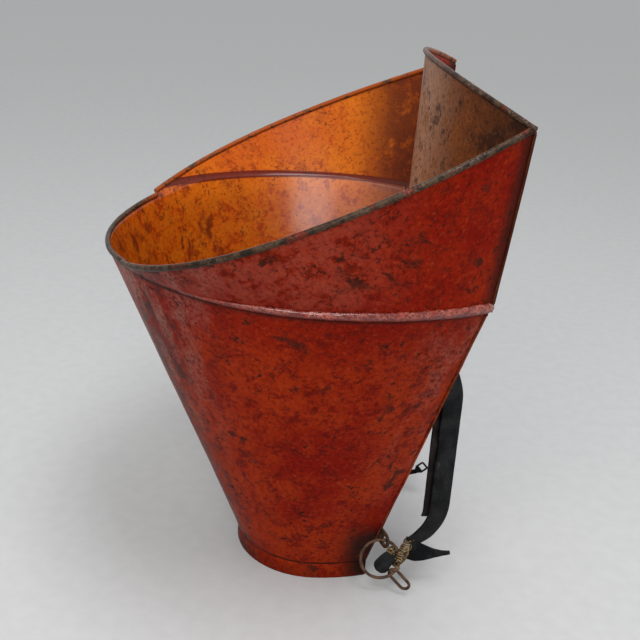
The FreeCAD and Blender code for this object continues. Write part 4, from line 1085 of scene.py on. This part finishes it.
def lashings():
    """Wire wound round the ring's side and the strap's tied end, in two crossing layers."""
    for name, hand in SIDES:
        tied = strap_axes(1, hand)[0]
        ring, upward = ring_axes(hand)
        side = ring + REAR * RING_RADIUS
        along = (side - tied).normalized()
        length = (side - tied).length + LASHING_SPARE
        start = (tied + side) / 2 - along * (length / 2 - 2)
        across = along.cross(UP).normalized()
        over = across.cross(along)
        span = length - 4
        under = winding(start, along, across, over, span, 11, 7, 0.9, 1)
        made = tube("lashing_wire_" + name, under, LASHING_WIRE, [BRASS], 8, up=along)
        stand_for(made, strap_body(name), "brass_wire", "lashing_" + name)
        crossing = winding(start + along * 4, along, across, over, span - 8, 4, 8.6, 6.5, 2.2)
        wire("crossing_wire_" + name, crossing, name, CROSSING_WIRE)
        axis = upward.cross(REAR)
        top = ring + upward * 13 + REAR * 17
        for k, (size, wide, turn) in enumerate(LOOSE_TURNS):
            first = REAR * math.cos(turn) + upward * math.sin(turn)
            second = axis * 0.8 + upward * 0.6 * math.cos(turn) - REAR * 0.6 * math.sin(turn)
            loops = loop_round(top, first, second.normalized(), size, wide, 1.2, 2.2, turn)
            wire("loose_wire_%s_%d" % (name, k), loops, name)
        foot = ring + REAR * 23 - upward * 12
        loops = loop_round(foot, REAR * 0.8 - upward * 0.6, axis, 5.5, 5, 1.5, 2.6)
        wire("lower_wire_" + name, loops, name)
        flap(name, ring, upward, axis * hand)


def flap(name, ring, upward, axis):
    """The torn end of the leather that is caught inside the ring."""
    places = [ring + REAR * a + upward * b + axis * c for a, b, c in FLAP_ROUTE]
    stations = []
    for share in spaced(0, 1, 26):
        ahead = heading(places, share)
        face = (axis - ahead * axis.dot(ahead)).normalized()
        half = (8.5 + 4.5 * share) * math.sqrt(max(1 - max(share - 0.72, 0) ** 2 / 0.0786, 0.06))
        stations.append((bent(places, share), ahead.cross(face), face, half, 1.7))
    made = strip("leather_end_" + name, stations, [LEATHER], 5.2)
    stand_for(made, strap_body(name), "black_leather")


# The tails' routes in the sections' own frame, least half widths and seeds.
TAIL_ROUTES = {"right": ((128, 203, 65), (127, 223, 59), (126, 246, 58), (125, 265, 61)),
               "left": ((-128, 203, 58), (-127, 222, 44), (-124, 236, 42), (-121, 248, 49.5))}
TAIL_LEAST = {"right": 2.9, "left": 4.2}
TAIL_SEEDS = {"right": 7.1, "left": 8.3}
# Half widths along a tail, from its tied end to its tip.
TAIL_WIDTHS = ((0, 15.5), (0.2, 15.5), (0.4, 11.6), (0.6, 7.2), (0.8, 4.2), (1, 2.9))


def tail_half_width(share):
    for (a, first), (b, last) in zip(TAIL_WIDTHS, TAIL_WIDTHS[1:]):
        if share <= b:
            return first + (last - first) * (share - a) / (b - a)
    return TAIL_WIDTHS[-1][1]


def bent(points, share):
    """A point on a smooth curve between the first and last of four points."""
    a, b, c, d = points
    rest = 1 - share
    return a * rest ** 3 + b * 3 * share * rest ** 2 + c * 3 * share ** 2 * rest + d * share ** 3


def heading(points, share):
    return (bent(points, min(share + 0.02, 1)) - bent(points, max(share - 0.02, 0))).normalized()


def tails():
    for name, hand in SIDES:
        points = [Vector(p) + REAR * SECTION_AXIS for p in TAIL_ROUTES[name]]
        stations = []
        for share in spaced(0, 1, 40):
            ahead = heading(points, share)
            face = Vector((hand, 0, 0)) + UP * 0.25 * math.sin(share * 3)
            face = (face - ahead * face.dot(ahead)).normalized()
            half = max(tail_half_width(share), TAIL_LEAST[name])
            stations.append((bent(points, share), ahead.cross(face), face, half, 1.9))
        made = strip("tail_leather_" + name, stations, [LEATHER], TAIL_SEEDS[name])
        stand_for(made, strap_body(name), "black_leather", "strap_tail_" + name)


def buckle_axes():
    """Directions out from the tail and along the buckle's bars."""
    out = Vector((0, math.cos(BUCKLE_TURN), math.sin(BUCKLE_TURN)))
    return out, ACROSS.cross(out)


def tail_fold():
    """The left tail's end, turned round the buckle's near bar."""
    out, bar = buckle_axes()
    near = BUCKLE - out * BUCKLE_HALF
    rows = []
    for turn in spaced(math.radians(-170), math.radians(170), 24):
        arm = out * math.cos(turn) + ACROSS * math.sin(turn)
        rows.append([near + arm * 4.2 + bar * a for a in spaced(-4.3, 4.3, 8)])
    made = sheet("tail_fold_left", rows, [LEATHER], 1.8, lambda p: p - near)
    stand_for(made, strap_body("left"), "black_leather")


def small_buckle():
    out, bar = buckle_axes()
    flat = BUCKLE_HALF - BUCKLE_SOFT
    path = []
    for quarter, (a, b) in enumerate(((1, 1), (-1, 1), (-1, -1), (1, -1))):
        middle = BUCKLE + out * a * flat + bar * b * flat
        start = math.pi / 2 * quarter
        for angle in spaced(start, start + math.pi / 2, 7):
            path.append(middle + (out * math.cos(angle) + bar * math.sin(angle)) * BUCKLE_SOFT)
    rod = forged(BUCKLE_BAR * 0.62, 9.5)
    made = tube("buckle_frame", path, rod, [BLACK_IRON], 12, True, up=ACROSS)
    stand_for(made, "buckle", "black_iron", "small_buckle")


# ---------------- kept CAD nodes
def paint_node(node, material):
    mesh = frame["nodes"][node].data
    mesh.materials.clear()
    mesh.materials.append(material)


KEPT = {"floor_pan": INSIDE, "back_lap": OUTSIDE, "lap_rivets": RIVET, "plate_rivets": IRON}
for side_name, _ in SIDES:
    for label in ("strap_loop_", "strap_plate_", "hitch_plate_"):
        KEPT[label + side_name] = IRON


# ---------------- studio
def area_light(name, place, target, size, power, colour=(1, 1, 1)):
    data = bpy.data.lights.new(name, "AREA")
    data.shape = "RECTANGLE"
    data.size, data.size_y = size
    data.energy = power
    data.color = colour
    light = put_in_scene(name, data)
    light.location = place
    light.rotation_euler = (Vector(target) - Vector(place)).to_track_quat("-Z", "Y").to_euler()


def studio():
    half = 40000
    corners = [Vector((x * half, y * half, 0)) for x, y in ((-1, -1), (1, -1), (1, 1), (-1, 1))]
    floor = make_object("floor", corners, [(0, 1, 2, 3)], [pale_floor()])
    world = bpy.data.worlds.new("studio")
    world.use_nodes = True
    background = world.node_tree.nodes["Background"]
    background.inputs["Color"].default_value = (0.97, 0.985, 1, 1)
    background.inputs["Strength"].default_value = 0.8
    bpy.context.scene.world = world
    area_light("key", (2.6, -1.4, 2.9), (0, 0, 0.4), (1.6, 1.6), 38, (1, 0.97, 0.93))
    area_light("window", (3.4, 0.1, 2.1), (0, 0, 0.5), (1.3, 1), 42)
    area_light("top", (0.7, 0.3, 2.6), (0, 0, 0.5), (0.8, 1.2), 34, (0.95, 0.97, 1))
    bpy.context.scene.view_settings.view_transform = "Standard"


# ---------------- making
tank_belly()
tank_back()
for side_name, side_hand in SIDES:
    collar_side(side_name, side_hand)
collar_back()
foot_ring()
rim_beads()
seam_beads()
domes()
folds()
for side_name, side_hand in SIDES:
    strap(side_name, side_hand)
    strap_lining(side_name, side_hand)
strap_folds()
rings()
links()
lashings()
tails()
tail_fold()
small_buckle()
for kept_node, kept_material in KEPT.items():
    paint_node(kept_node, kept_material)
studio()
